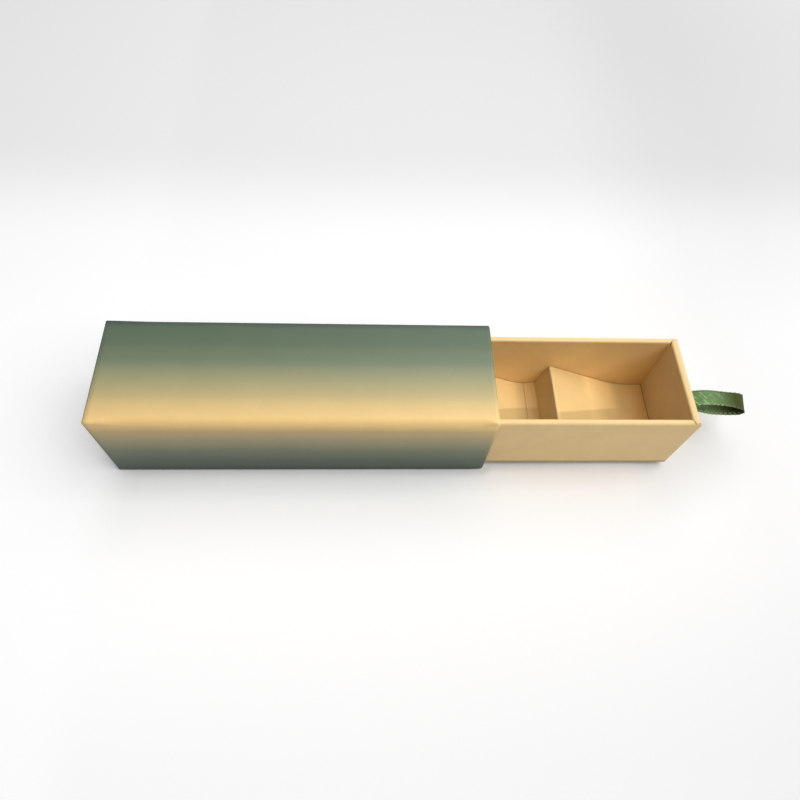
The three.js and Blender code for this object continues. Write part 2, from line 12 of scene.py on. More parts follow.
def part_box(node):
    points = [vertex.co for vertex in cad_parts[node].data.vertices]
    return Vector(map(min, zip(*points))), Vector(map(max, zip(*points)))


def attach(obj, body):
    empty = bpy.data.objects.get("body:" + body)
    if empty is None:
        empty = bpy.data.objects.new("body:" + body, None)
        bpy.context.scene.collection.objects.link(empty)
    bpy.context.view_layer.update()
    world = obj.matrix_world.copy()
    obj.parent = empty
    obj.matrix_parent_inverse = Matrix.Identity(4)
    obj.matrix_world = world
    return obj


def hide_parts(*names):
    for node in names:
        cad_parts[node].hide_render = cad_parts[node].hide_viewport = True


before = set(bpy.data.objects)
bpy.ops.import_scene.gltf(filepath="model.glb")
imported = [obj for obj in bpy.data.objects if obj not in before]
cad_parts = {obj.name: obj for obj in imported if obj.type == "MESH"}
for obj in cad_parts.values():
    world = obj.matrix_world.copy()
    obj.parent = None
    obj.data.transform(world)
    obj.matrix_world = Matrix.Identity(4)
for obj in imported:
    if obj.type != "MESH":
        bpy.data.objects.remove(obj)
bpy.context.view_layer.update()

bl_info = {
    "name": "Sliding drawer gift box",
    "version": (1, 0, 0),
    "blender": (4, 5, 0),
    "location": "View3D > Sidebar > Gift Box",
    "description": "Finishes a packed sliding drawer gift box and sets its stage",
    "category": "Object",
}

MM = 0.001

SLEEVE_LOW, SLEEVE_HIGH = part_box("sleeve_wrap")
TRAY_LOW, TRAY_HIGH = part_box("tray_wrap")
RIBBON_LOW, RIBBON_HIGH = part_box("ribbon_pull")
CARDS = sorted(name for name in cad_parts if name.startswith("wedge_card"))


def shade(red, green, blue):
    """A colour as a picker shows it, from 0 to 255 a channel, for a gamma colour property."""
    return (red / 255, green / 255, blue / 255)


def colour_property(name, description, default):
    return FloatVectorProperty(
        name=name,
        description=description,
        subtype="COLOR_GAMMA",
        size=3,
        min=0.0,
        max=1.0,
        default=default,
    )


def length_property(name, description, default):
    return FloatProperty(
        name=name,
        description=description,
        unit="LENGTH",
        subtype="DISTANCE",
        default=default,
        min=0.0,
        precision=5,
    )


def power_property(name, description, default):
    return FloatProperty(
        name=name, description=description, unit="POWER", default=default, min=0.0)


def angle_property(name, description, degrees):
    return FloatProperty(
        name=name, description=description, subtype="ANGLE", default=math.radians(degrees))


def place_property(name, description, default):
    return FloatVectorProperty(
        name=name, description=description, subtype="TRANSLATION", size=3, default=default)


def share_property(name, description, default, most=1.0):
    return FloatProperty(
        name=name, description=description, subtype="FACTOR", default=default, min=0.0, max=most
    )


class GiftBoxPrint(bpy.types.PropertyGroup):
    """The printed sheet of the sleeve: a gold band at the front edge that fades to green."""

    back_green: colour_property(
        "Back green", "Ink at the back edge of the lid", shade(87, 104, 85))
    leaf_green: colour_property(
        "Leaf green", "Ink near the back of the lid", shade(102, 117, 93))
    sage: colour_property("Sage", "Ink behind the middle of the lid", shade(136, 142, 112))
    straw: colour_property("Straw", "Ink in front of the middle of the lid", shade(205, 185, 131))
    gold: colour_property("Gold", "Ink on the front fold", shade(252, 215, 144))
    amber: colour_property("Amber", "Ink just behind the front fold", shade(246, 209, 141))
    sand: colour_property("Sand", "Ink just under the front edge", shade(221, 188, 125))
    stone: colour_property("Stone", "Ink high on the front", shade(189, 170, 124))
    moss: colour_property("Moss", "Ink at the middle of the front", shade(134, 136, 106))
    slate_green: colour_property("Slate green", "Ink low on the front", shade(96, 107, 87))
    base_green: colour_property(
        "Base green", "Ink at the foot of the front", shade(78, 88, 76))
    deep_green: colour_property(
        "Deep green", "Ink on the back, the underside and the closed end", shade(60, 71, 62))
    rubbed: colour_property(
        "Rubbed print", "Paper that shows where a fold is rubbed", shade(244, 232, 204))
    sheen: share_property("Film roughness", "Roughness of the matt film over the print", 0.44)


class GiftBoxPaper(bpy.types.PropertyGroup):
    """The papers, card and board that the print doesn't cover."""

    cream: colour_property("Cream paper", "Paper round the tray", shade(245, 212, 152))
    card: colour_property("Insert card", "Card of the wedges", shade(233, 199, 135))
    lining: colour_property("Lining paper", "Paper inside the sleeve", shade(236, 205, 153))
    worn: colour_property("Worn fold", "Fibres that show along a rubbed fold", shade(255, 238, 204))
    board: colour_property("Greyboard", "Bare board at cut edges", shade(158, 152, 142))
    tape: colour_property("Gummed tape", "Brown tape round the board joints", shade(196, 170, 126))
    # The dark brown laid at the rim's corners is painted shade in the mitre slits.
    corner_painted_shade: colour_property("Glue", "Board browned by glue under the mitres", shade(84, 60, 32))
    strip: colour_property(
        "Mitre strip", "Pale paper under the mitres at the tray's back", shade(255, 224, 164))
    fibre: length_property("Fibre size", "Size of the finest paper fibre", 0.35 * MM)
    cloud: length_property("Cloud size", "Size of the soft clouds in the paper", 14 * MM)
    wave: length_property("Wave size", "Length of the slow waves of a glued board", 38 * MM)


class GiftBoxRibbon(bpy.types.PropertyGroup):
    """The satin ribbon of the pull."""

    # The lit and deep satin are lit and shaded copies of one green, which the weave and its blotches
    # mix as painted light and shade.
    face: colour_property("Satin", "Lit threads of the ribbon", shade(112, 150, 86))
    deep: colour_property("Deep satin", "Threads that dip into the weave", shade(58, 80, 40))
    # The olive satin is painted shade round the loop's fold.
    olive: colour_property("Olive satin", "Satin round the loop's fold", shade(66, 74, 36))
    edge: colour_property("Edge thread", "Stitches along both edges", shade(210, 232, 182))
    width: length_property("Width", "Woven width of the ribbon", 9.6 * MM)
    thickness: length_property("Thickness", "Thickness of the woven ribbon", 0.28 * MM)
    pick: length_property("Pick", "Distance between two picks of the weave", 0.30 * MM)
    stitch_pitch: length_property("Edge stitch pitch", "Distance between edge stitches", 2.7 * MM)
    stitch_thread: length_property("Edge thread radius", "Radius of the edge thread", 0.22 * MM)
    inner_inset: length_property("Inner inset", "Stitches lie further in, inside the loop", 0.9 * MM)


class GiftBoxStage(bpy.types.PropertyGroup):
    """The floor, the lamps and the camera."""

    floor_tone: colour_property("Floor", "Colour of the plain floor", shade(238, 238, 238))
    floor_size: length_property("Floor size", "Side of the square floor", 8.0)
    key_power: power_property("Key power", "Power of the large soft lamp", 15.9)
    key_size: length_property("Key size", "Side of the large soft lamp", 1.15)
    key_place: place_property("Key place", "Centre of the large soft lamp", (0.71, -0.18, 1.13))
    back_power: power_property("Back power", "Power of the long lamp behind", 4.75)
    back_length: length_property("Back length", "Length of the long lamp behind", 1.2)
    back_width: length_property("Back width", "Width of the long lamp behind", 0.8)
    back_place: place_property("Back place", "Centre of the long lamp behind", (0.45, 0.60, 1.0))
    sky: share_property("Sky", "Strength of the even light from all round", 0.15, 2.0)
    sky_tone: colour_property("Sky tone", "Colour of the pale background", shade(240, 240, 240))
    camera_place: place_property(
        "Camera place", "Where the photograph was taken from", (0.031452, -0.170409, 0.332125))
    camera_pitch: angle_property("Pitch", "How far the camera looks down", 60.666)
    camera_yaw: angle_property("Yaw", "How far the camera turns to the right", 7.175)
    camera_roll: angle_property("Roll", "How far the camera leans", 6.553)
    camera_lens: FloatProperty(
        name="Lens", description="Focal length on a 36 mm sensor",
        unit="CAMERA", default=28.860, min=1.0)


def linear(colour):
    """A gamma colour property as the four linear channels that a shader takes."""
    plain = Color(colour).from_srgb_to_scene_linear()
    return (plain.r, plain.g, plain.b, 1.0)


def node(tree, kind, inputs=None, **settings):
    """Adds a node. Its inputs are filled from numbers, colours or the outputs of other nodes."""
    made = tree.nodes.new(kind)
    for name, value in settings.items():
        setattr(made, name, value)
    for key, value in (inputs or {}).items():
        if isinstance(value, bpy.types.NodeSocket):
            tree.links.new(value, made.inputs[key])
        else:
            made.inputs[key].default_value = value
    return made


def sum_of(tree, operation, *values, clamp=False):
    """A Math node of one operation on up to three values."""
    made = node(tree, "ShaderNodeMath", dict(enumerate(values)), operation=operation)
    made.use_clamp = clamp
    return made.outputs[0]


def product(tree, first, *others):
    """All the values multiplied."""
    for other in others:
        first = sum_of(tree, "MULTIPLY", first, other)
    return first


def off_from(tree, value, middle):
    """How far a value is from middle, on either side."""
    return sum_of(tree, "ABSOLUTE", sum_of(tree, "SUBTRACT", value, middle))


def rescaled(tree, value, low, high, to_low=0.0, to_high=1.0, smooth=False):
    """value taken from low..high to to_low..to_high, and held at both ends."""
    made = node(tree, "ShaderNodeMapRange", {
        "Value": value, "From Min": low, "From Max": high, "To Min": to_low, "To Max": to_high,
    }, clamp=True)
    made.interpolation_type = "SMOOTHSTEP" if smooth else "LINEAR"
    return made.outputs["Result"]


def blended(tree, share, first, second, how="MIX"):
    """The colour first with second laid over it by share."""
    made = node(tree, "ShaderNodeMix", data_type="RGBA", blend_type=how)
    colour_inputs = [socket for socket in made.inputs if socket.type == "RGBA"]
    for socket, value in zip([made.inputs["Factor"], *colour_inputs], (share, first, second)):
        if isinstance(value, bpy.types.NodeSocket):
            tree.links.new(value, socket)
        else:
            socket.default_value = value
    return next(socket for socket in made.outputs if socket.type == "RGBA")


def cloud(tree, place, size, detail=2.0, rough=0.5, stretch=(1.0, 1.0, 1.0)):
    """Soft noise with features of a real size in metres, from 0 to 1."""
    scaled = node(tree, "ShaderNodeVectorMath", {0: place, 1: stretch}, operation="MULTIPLY")
    made = node(tree, "ShaderNodeTexNoise", {
        "Vector": scaled.outputs[0], "Scale": 1.0 / size, "Detail": detail, "Roughness": rough,
    })
    return made.outputs["Fac"]


def object_place(tree):
    return node(tree, "ShaderNodeTexCoord").outputs["Object"]


def split(tree, place):
    return node(tree, "ShaderNodeSeparateXYZ", {0: place}).outputs


def mixed(tree, share, first, second):
    """The shader first with second laid over it by share."""
    return node(tree, "ShaderNodeMixShader", {0: share, 1: first, 2: second}).outputs[0]


def looks_out(tree):
    """How far a face looks along X, from -1 to the closed end to 1 to the pull."""
    return split(tree, node(tree, "ShaderNodeNewGeometry").outputs["True Normal"])[0]


def seen(tree):
    """1 for a ray that shows a surface to the eye, at once or by a reflection, and 0 for others."""
    rays = node(tree, "ShaderNodeLightPath").outputs
    shows = sum_of(tree, "MAXIMUM", rays["Is Camera Ray"], rays["Is Glossy Ray"])
    return sum_of(tree, "MAXIMUM", shows, rays["Is Transmission Ray"])


def new_material(name):
    """An empty node material, with its tree and its Principled shader."""
    material = bpy.data.materials.new(name)
    material.use_nodes = True
    tree = material.node_tree
    return material, tree, tree.nodes["Principled BSDF"]


def relief(tree, shader, height, depth):
    """Bump of a real depth in metres from a height of 0 to 1."""
    bump = node(tree, "ShaderNodeBump", {"Height": height, "Distance": depth})
    tree.links.new(bump.outputs["Normal"], shader.inputs["Normal"])


def edge_share(tree, value, middle, half, reach):
    """1 where value is half from middle on either side, falling to 0 reach metres further in."""
    return rescaled(tree, off_from(tree, value, middle), half - reach, half, smooth=True)


WEAR_PATCH = 2.2 * MM


def fold_wear(tree, place, low, high, reach):
    """How near a point is to a long fold of a box, broken up as rubbed paper is."""
    half = (high - low) / 2
    middle = (high + low) / 2
    x, y, z = (
        edge_share(tree, value, middle[i], half[i], reach)
        for i, value in enumerate(split(tree, place))
    )
    near = sum_of(tree, "MAXIMUM", product(tree, y, z), product(tree, x, z))
    near = sum_of(tree, "MAXIMUM", near, product(tree, x, y))
    broken = rescaled(tree, cloud(tree, place, WEAR_PATCH, 3.0), 0.35, 0.65)
    return product(tree, near, broken)


# Where each ink stands, as the distance round the sheet from the front edge of the lid. It counts
# up over the lid and down the front.
PRINT_PLACES = (
    ("deep_green", -0.0560),
    ("base_green", -0.0500),
    ("slate_green", -0.0400),
    ("moss", -0.0280),
    ("stone", -0.0150),
    ("sand", -0.0080),
    ("gold", -0.0035),
    ("gold", 0.0005),
    ("amber", 0.0045),
    ("straw", 0.0145),
    ("sage", 0.0320),
    ("leaf_green", 0.0440),
    ("back_green", 0.0560),
    ("deep_green", 0.0602),
)


def way_round(tree, place):
    """Distance round the sleeve's sheet from the front edge of the lid, in metres."""
    _, y, z = split(tree, place)
    middle = (SLEEVE_LOW.z + SLEEVE_HIGH.z) / 2
    back = sum_of(tree, "SUBTRACT", y, SLEEVE_LOW.y)
    down = sum_of(tree, "SUBTRACT", SLEEVE_HIGH.z, z)
    upper = sum_of(tree, "GREATER_THAN", z, middle)
    over = sum_of(tree, "MULTIPLY_ADD", upper, 2.0, -1.0)
    front_half = sum_of(tree, "SUBTRACT", product(tree, back, over), down)
    back_half = sum_of(tree, "ADD", back, down)
    behind = sum_of(tree, "GREATER_THAN", y, 0.0)
    before = sum_of(tree, "SUBTRACT", 1.0, behind)
    return sum_of(
        tree, "ADD", product(tree, behind, back_half), product(tree, before, front_half))


def print_ramp(tree, inks, distance):
    """The inks of the print by their distance round the sheet."""
    first, last = PRINT_PLACES[0][1], PRINT_PLACES[-1][1]
    ramp = node(tree, "ShaderNodeValToRGB", {"Fac": rescaled(tree, distance, first, last)})
    elements = ramp.color_ramp.elements
    while len(elements) < len(PRINT_PLACES):
        elements.new(0.5)
    for element, (ink, place) in zip(elements, PRINT_PLACES):
        element.position = (place - first) / (last - first)
        element.color = linear(getattr(inks, ink))
    ramp.color_ramp.interpolation = "CARDINAL"
    return ramp.outputs["Color"]


def toned_by(tree, colour, tone):
    """A colour made darker or lighter by a factor."""
    plain = colour if isinstance(colour, bpy.types.NodeSocket) else colour[:3]
    made = node(tree, "ShaderNodeVectorMath", {0: plain, "Scale": tone}, operation="SCALE")
    return made.outputs[0]


def paper_grain(tree, place, paper, colour, depth=0.05):
    """Fibres and soft clouds over a colour, and the height that goes with them."""
    clouds = cloud(tree, place, paper.cloud, 3.0)
    fibres = cloud(tree, place, paper.fibre, 4.0, 0.65, (1.0, 0.35, 1.0))
    specks = cloud(tree, place, 3 * paper.fibre, 2.0, 0.6)
    darker = rescaled(tree, clouds, 0.3, 0.7, 1.0 - depth, 1.0 + depth / 3)
    fine = rescaled(tree, fibres, 0.25, 0.75, 1.0 - depth, 1.0 + depth / 2)
    height = sum_of(tree, "MULTIPLY_ADD", fibres, 0.6, product(tree, specks, 0.4))
    return toned_by(tree, colour, product(tree, darker, fine)), height


# A tone is held as a range of places or distances, and the shares of light at its two ends.
# The painted highlight just behind the sleeve's mouth and the painted shade on its turned edge.
MOUTH_STRIP = SLEEVE_HIGH.x - 1.4 * MM
MOUTH_PAINTED_HIGHLIGHT = (0.0, 0.9 * MM, 1.07, 1.0)
MOUTH_PAINTED_SHADE = (SLEEVE_HIGH.x - 0.7 * MM, SLEEVE_HIGH.x - 0.1 * MM, 1.0, 0.8)


def mouth_painted_light(tree, x):
    """A painted highlight on the print just behind the mouth, and painted shade on its turned edge.
    """
    pale = rescaled(tree, off_from(tree, x, MOUTH_STRIP), *MOUTH_PAINTED_HIGHLIGHT, smooth=True)
    return product(tree, pale, rescaled(tree, x, *MOUTH_PAINTED_SHADE))


# How far the print wavers, how far the closed end's deep green runs in with the share that it
# starts at (the narrow reach is the closed end's ink and painted shade on its fold, the wide one is
# painted shade along the closed end), how far the rubbing of a fold reaches, and the depth of the
# paper under the film.
WAVER_SIZE = 55 * MM
WAVER = 0.7 * MM
END_INK_AND_PAINTED_SHADE = ((0.9 * MM, 0.9), (3.6 * MM, 0.38))
PRINT_WEAR = 0.7 * MM
PRINT_RELIEF = 0.012 * MM


def printed_paper():
    """Litho print under matt film, glued over board, with painted light and shade at the mouth and
    painted shade along the closed end.
    """
    scene = bpy.context.scene
    inks, paper = scene.gift_box_print, scene.gift_box_paper
    material, tree, shader = new_material("printed_gradient")
    place = object_place(tree)
    waver = rescaled(tree, cloud(tree, place, WAVER_SIZE), 0.2, 0.8, -WAVER, WAVER)
    distance = sum_of(tree, "ADD", way_round(tree, place), waver)
    x = split(tree, place)[0]
    sheet = print_ramp(tree, inks, distance)
    for reach, most in END_INK_AND_PAINTED_SHADE:
        end = rescaled(tree, x, SLEEVE_LOW.x, SLEEVE_LOW.x + reach, most, 0.0, smooth=True)
        sheet = blended(tree, end, sheet, linear(inks.deep_green))
    sheet = toned_by(tree, sheet, mouth_painted_light(tree, x))
    ink, height = paper_grain(tree, place, paper, sheet, 0.035)
    wear = fold_wear(tree, place, SLEEVE_LOW, SLEEVE_HIGH, PRINT_WEAR)
    rubbed = blended(tree, product(tree, wear, 0.22), ink, linear(inks.rubbed))
    tree.links.new(rubbed, shader.inputs["Base Color"])
    rough = rescaled(tree, height, 0.3, 0.7, inks.sheen - 0.05, inks.sheen + 0.07)
    tree.links.new(rough, shader.inputs["Roughness"])
    slow = cloud(tree, place, paper.wave, 1.0)
    relief(tree, shader, sum_of(tree, "MULTIPLY_ADD", slow, 10.0, height), PRINT_RELIEF)
    shader.inputs["Specular IOR Level"].default_value = 0.35
    return material


# Painted light and shade on faces turned to the closed end: the bluer tint that stands in for the
# floor's light on them, how far a face has to look that way, and the heights where the tint ends at
# the rolled rim, where it weakens, and where the painted light changes.
PAINTED_SHADE_TINT = (0.88, 0.99, 1.4, 1.0)
TURNED = (-0.6, -0.9)
UNDER_ROLL = (TRAY_HIGH.z - 1.6 * MM, TRAY_HIGH.z - 0.9 * MM, 1.0, 0.0)
HIGH_UP = (39 * MM, 49 * MM)
LESS_TINT_HIGH_UP = -0.15
PAINTED_LIGHT_HIGH_UP = 0.055
PAINTED_LIGHT_BY_HEIGHT = (20 * MM, 46 * MM, -0.06, 0.07)


def closed_end_painted_shade(tree, place, colour):
    """Faces turned to the closed end are painted less yellow and painted darker low in the tray:
    painted light and shade.
    """
    z = split(tree, place)[2]
    turned = product(
        tree, rescaled(tree, looks_out(tree), *TURNED), rescaled(tree, z, *UNDER_ROLL))
    high = rescaled(tree, z, *HIGH_UP)
    share = product(tree, turned, sum_of(tree, "MULTIPLY_ADD", high, LESS_TINT_HIGH_UP, 1.0))
    tinted = blended(tree, share, colour, PAINTED_SHADE_TINT, "MULTIPLY")
    change = sum_of(
        tree, "MULTIPLY_ADD", high, PAINTED_LIGHT_HIGH_UP, rescaled(tree, z, *PAINTED_LIGHT_BY_HEIGHT))
    return toned_by(tree, tinted, sum_of(tree, "MULTIPLY_ADD", turned, change, 1.0))


# Painted highlight on the rim's top, painted shade at the pull end and along the lower fold.
RIM_HEIGHTS = (TRAY_HIGH.z - 1.2 * MM, TRAY_HIGH.z - 0.4 * MM)
RIM_PAINTED_HIGHLIGHT = (TRAY_HIGH.x - 5.5 * MM, TRAY_HIGH.x - 3.5 * MM, 0.09, 0.0)
PULL_END_PAINTED_SHADE = (TRAY_HIGH.x - 45 * MM, TRAY_HIGH.x - 10 * MM, 1.0, 0.95)
LOWER_FOLD_PAINTED_SHADE = (TRAY_LOW.z + 1.4 * MM, TRAY_LOW.z + 2.6 * MM, 0.55, 1.0)


def wrap_painted_light(tree, place):
    """Painted light and shade: the tray's rim top is painted paler, its pull end painted darker, and
    its lower fold painted in shade.
    """
    x, _, z = split(tree, place)
    level = sum_of(
        tree, "MULTIPLY_ADD", rescaled(tree, z, *RIM_HEIGHTS), rescaled(tree, x, *RIM_PAINTED_HIGHLIGHT),
        rescaled(tree, x, *PULL_END_PAINTED_SHADE))
    return product(tree, level, rescaled(tree, z, *LOWER_FOLD_PAINTED_SHADE))


# Painted light and shade on the cards: the place on their flat run-out that is painted paler and the
# painted light near the mouth, the back and the pull end, then the painted shadow of the tray's front
# wall. That painted shadow ends on a plane that leans forward with height, and spares the steep
# faces.
FLAT_LIT_PLACE = TRAY_HIGH.x - 33.5 * MM
FLAT_PAINTED_LIGHT = (6 * MM, 13 * MM, 0.12, 0.0)
NEAR_MOUTH_PAINTED_LIGHT = (SLEEVE_HIGH.x + 22 * MM, SLEEVE_HIGH.x + 26 * MM, 0.06, 0.0)
BACK_PAINTED_LIGHT = (2 * MM, 20 * MM, 1.0, 2.2)
NEAR_PULL_PAINTED_LIGHT = (TRAY_HIGH.x - 18 * MM, TRAY_HIGH.x - 5 * MM, 1.0, 1.32)
WALL_SHADE_SLOPE = 0.68
WALL_SHADE_TONE = (10.0 * MM, 11.5 * MM, 0.23, 0.0)
WALL_SHADE_ALONG = (TRAY_HIGH.x - 29 * MM, TRAY_HIGH.x - 19 * MM, 1.0, 0.2)
LOOKS_UP = (-0.6, -0.3)


def card_painted_light(tree, place):
    """Painted light and shade: the cards are painted paler on their flat run-out, and the tray's
    front wall's shadow is painted on them.
    """
    x, y, z = split(tree, place)
    flat_lit = rescaled(tree, off_from(tree, x, FLAT_LIT_PLACE), *FLAT_PAINTED_LIGHT, smooth=True)
    flat = sum_of(tree, "ADD", flat_lit, rescaled(tree, x, *NEAR_MOUTH_PAINTED_LIGHT))
    pale = sum_of(
        tree, "MULTIPLY_ADD", flat, rescaled(tree, y, *BACK_PAINTED_LIGHT),
        rescaled(tree, x, *NEAR_PULL_PAINTED_LIGHT))
    leaning = sum_of(tree, "MULTIPLY_ADD", z, WALL_SHADE_SLOPE, y)
    shaded = product(
        tree, rescaled(tree, leaning, *WALL_SHADE_TONE, smooth=True),
        rescaled(tree, looks_out(tree), *LOOKS_UP), rescaled(tree, x, *WALL_SHADE_ALONG))
    return product(tree, pale, sum_of(tree, "SUBTRACT", 1.0, shaded))


PAPER_WEAR = 0.6 * MM
PAPER_RELIEF = 0.016 * MM
CREST_PATCH = 5 * MM


def cream_paper(name, colour, rough, low, high, tone=None, ridge=0.0):
    """Uncoated paper with fibres, soft clouds and rubbed folds, painted shade on faces turned to the
    closed end, painted light and shade from a tone if one is given, and perhaps a patchy paler line
    along the top ridge.
    """
    paper = bpy.context.scene.gift_box_paper
    material, tree, shader = new_material(name)
    place = object_place(tree)
    grained, height = paper_grain(tree, place, paper, closed_end_painted_shade(tree, place, linear(colour)))
    if tone:
        grained = toned_by(tree, grained, tone(tree, place))
    wear = fold_wear(tree, place, low, high, PAPER_WEAR)
    rubbed = blended(tree, product(tree, wear, 0.35), grained, linear(paper.worn))
    if ridge:
        z = split(tree, place)[2]
        crest = rescaled(tree, z, high.z - ridge, high.z - ridge / 4, 0.0, 0.15)
        patchy = rescaled(tree, cloud(tree, place, CREST_PATCH), 0.2, 0.5, 0.55, 1.0)
        rubbed = blended(tree, product(tree, crest, patchy), rubbed, linear(paper.worn))
    tree.links.new(rubbed, shader.inputs["Base Color"])
    slow = cloud(tree, place, paper.wave, 1.0)
    relief(tree, shader, sum_of(tree, "MULTIPLY_ADD", slow, 7.0, height), PAPER_RELIEF)
    tree.links.new(
        rescaled(tree, height, 0.3, 0.7, rough - 0.06, rough + 0.06), shader.inputs["Roughness"])
    shader.inputs["Specular IOR Level"].default_value = 0.25
    return material


CORNER_SHADE_REACH = 6 * MM


def rim_corner_shade(tree, place):
    """Where the boards are painted dark brown at the rim's four corners, under the mitred paper:
    painted shade in the mitre slits.
    """
    middle, half = (TRAY_HIGH + TRAY_LOW) / 2, (TRAY_HIGH - TRAY_LOW) / 2
    x, y, z = split(tree, place)
    along = edge_share(tree, x, middle.x, half.x - CORNER_SHADE_REACH, CORNER_SHADE_REACH)
    across = edge_share(tree, y, middle.y, half.y - CORNER_SHADE_REACH, CORNER_SHADE_REACH)
    top = rescaled(tree, z, TRAY_HIGH.z - CORNER_SHADE_REACH, TRAY_HIGH.z - CORNER_SHADE_REACH / 2)
    return product(tree, along, across, top)


STRIP_WIDTHS = (TRAY_HIGH.y - 2.4 * MM, TRAY_HIGH.y - 1.6 * MM)
STRIP_HEIGHTS = (TRAY_HIGH.z - 3 * MM, TRAY_HIGH.z - 2 * MM)


def mitre_strip(tree, place):
    """Where a pale strip of paper lies under the outer part of the mitres at the tray's back."""
    _, y, z = split(tree, place)
    return product(tree, rescaled(tree, y, *STRIP_WIDTHS), rescaled(tree, z, *STRIP_HEIGHTS))


BOARD_STREAK = 2.4 * MM
TAPE_STREAK = 1.2 * MM
FLECK = 0.5 * MM
BOARD_RELIEF = 0.05 * MM


def raw_board(name, colour, streak):
    """Bare board or tape: layers of grey or brown fibre with darker flecks, and painted shade at the
    rim's corners.
    """
    paper = bpy.context.scene.gift_box_paper
    material, tree, shader = new_material(name)
    place = object_place(tree)
    layers = cloud(tree, place, streak, 4.0, 0.7, (0.25, 0.25, 3.0))
    flecks = cloud(tree, place, FLECK, 3.0, 0.6)
    tone = product(
        tree, rescaled(tree, layers, 0.3, 0.7, 0.86, 1.08),
        rescaled(tree, flecks, 0.3, 0.6, 0.80, 1.0))
    fibre = toned_by(tree, linear(colour), tone)
    # Painted shade in the mitre slits at the rim's corners.
    glued = blended(tree, rim_corner_shade(tree, place), fibre, linear(paper.corner_painted_shade))
    lined = blended(tree, mitre_strip(tree, place), glued, linear(paper.strip))
    tree.links.new(lined, shader.inputs["Base Color"])
    tree.links.new(rescaled(tree, flecks, 0.3, 0.7, 0.82, 0.96), shader.inputs["Roughness"])
    relief(tree, shader, layers, BOARD_RELIEF)
    shader.inputs["Specular IOR Level"].default_value = 0.2
    return material


SHARP_FOLD = math.radians(52)
WELD = 0.001 * MM


def even_shading(target):
    """Shades the facets of a fold as one round surface, and leaves cut edges sharp."""
    group = bpy.data.node_groups.get("soft_folds") or soft_folds_group()
    folds = target.modifiers.new("soft_folds", "NODES")
    folds.node_group = group
    weighted = target.modifiers.new("even_shading", "WEIGHTED_NORMAL")
    weighted.keep_sharp = True


def soft_folds_group():
    """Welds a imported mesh, then smooths its faces and keeps the sharper edges."""
    group = bpy.data.node_groups.new("soft_folds", "GeometryNodeTree")
    group.interface.new_socket("Geometry", in_out="INPUT", socket_type="NodeSocketGeometry")
    group.interface.new_socket("Geometry", in_out="OUTPUT", socket_type="NodeSocketGeometry")
    came = node(group, "NodeGroupInput").outputs[0]
    plain = node(group, "GeometryNodeRemoveAttribute", {0: came, "Name": "custom_normal"})
    joined = node(group, "GeometryNodeMergeByDistance", {0: plain.outputs[0], "Distance": WELD})
    angle = node(group, "GeometryNodeInputMeshEdgeAngle").outputs["Unsigned Angle"]
    sharp = node(
        group, "FunctionNodeCompare", {0: angle, 1: SHARP_FOLD},
        data_type="FLOAT", operation="GREATER_THAN")
    smooth = node(group, "GeometryNodeSetShadeSmooth", {0: joined.outputs[0]}, domain="FACE")
    edged = node(group, "GeometryNodeSetShadeSmooth", {
        0: smooth.outputs[0], "Selection": sharp.outputs[0], "Shade Smooth": False,
    }, domain="EDGE")
    node(group, "NodeGroupOutput", {0: edged.outputs[0]})
    return group


def dress(names, material):
    """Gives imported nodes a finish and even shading, and changes nothing of their shape."""
    for name in names:
        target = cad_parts[name]
        target.material_slots[0].material = material
        even_shading(target)


def nodes_named(*beginnings):
    return [name for name in sorted(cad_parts) if name.startswith(beginnings)]


SENSOR_WIDTH = 36.0
NEAREST, FARTHEST = 0.01, 50.0


class GIFTBOX_OT_camera(bpy.types.Operator):
    """Set the camera at the photograph's viewing angle"""

    bl_idname = "giftbox.camera"
    bl_label = "Camera"

    def execute(self, context):
        stage = context.scene.gift_box_stage
        pitch, yaw, roll = stage.camera_pitch, stage.camera_yaw, stage.camera_roll
        ahead = Vector((
            math.sin(yaw) * math.cos(pitch), math.cos(yaw) * math.cos(pitch), -math.sin(pitch)))
        level = Vector((math.cos(yaw), -math.sin(yaw), 0.0))
        above = level.cross(ahead)
        right = math.cos(roll) * level + math.sin(roll) * above
        up = -math.sin(roll) * level + math.cos(roll) * above
        data = bpy.data.cameras.new("camera")
        data.sensor_width = SENSOR_WIDTH
        data.sensor_fit = "HORIZONTAL"
        data.lens = stage.camera_lens
        data.clip_start = NEAREST
        data.clip_end = FARTHEST
        camera = bpy.data.objects.new("camera", data)
        context.scene.collection.objects.link(camera)
        turn = Matrix((right, up, -ahead)).transposed()
        camera.matrix_world = Matrix.Translation(stage.camera_place) @ turn.to_4x4()
        context.scene.camera = camera
        return {"FINISHED"}


# The oval of shade on the floor beyond the tray's raised end, and the narrow one along the front.
END_SHADE_PLACE = (0.186, -0.017, 0.0)
END_SHADE_SIZE = (0.0866, 0.0509, 1.0)
END_SHADE_TONE = (0.03, 1.0, 0.225, 0.0)
END_SHADE_START = (0.179, 0.213)
FRONT_LINE = (SLEEVE_HIGH.x, SLEEVE_HIGH.x + 6 * MM, SLEEVE_LOW.y, TRAY_LOW.y)
FRONT_SHADE_TONE = (0.0, 6 * MM, 1.0, 0.0)
FRONT_SHADE_START = (SLEEVE_LOW.x - 4 * MM, SLEEVE_LOW.x + 4 * MM)
FRONT_SHADE_END = (SLEEVE_HIGH.x, SLEEVE_HIGH.x + 70 * MM, 0.18, 0.0)


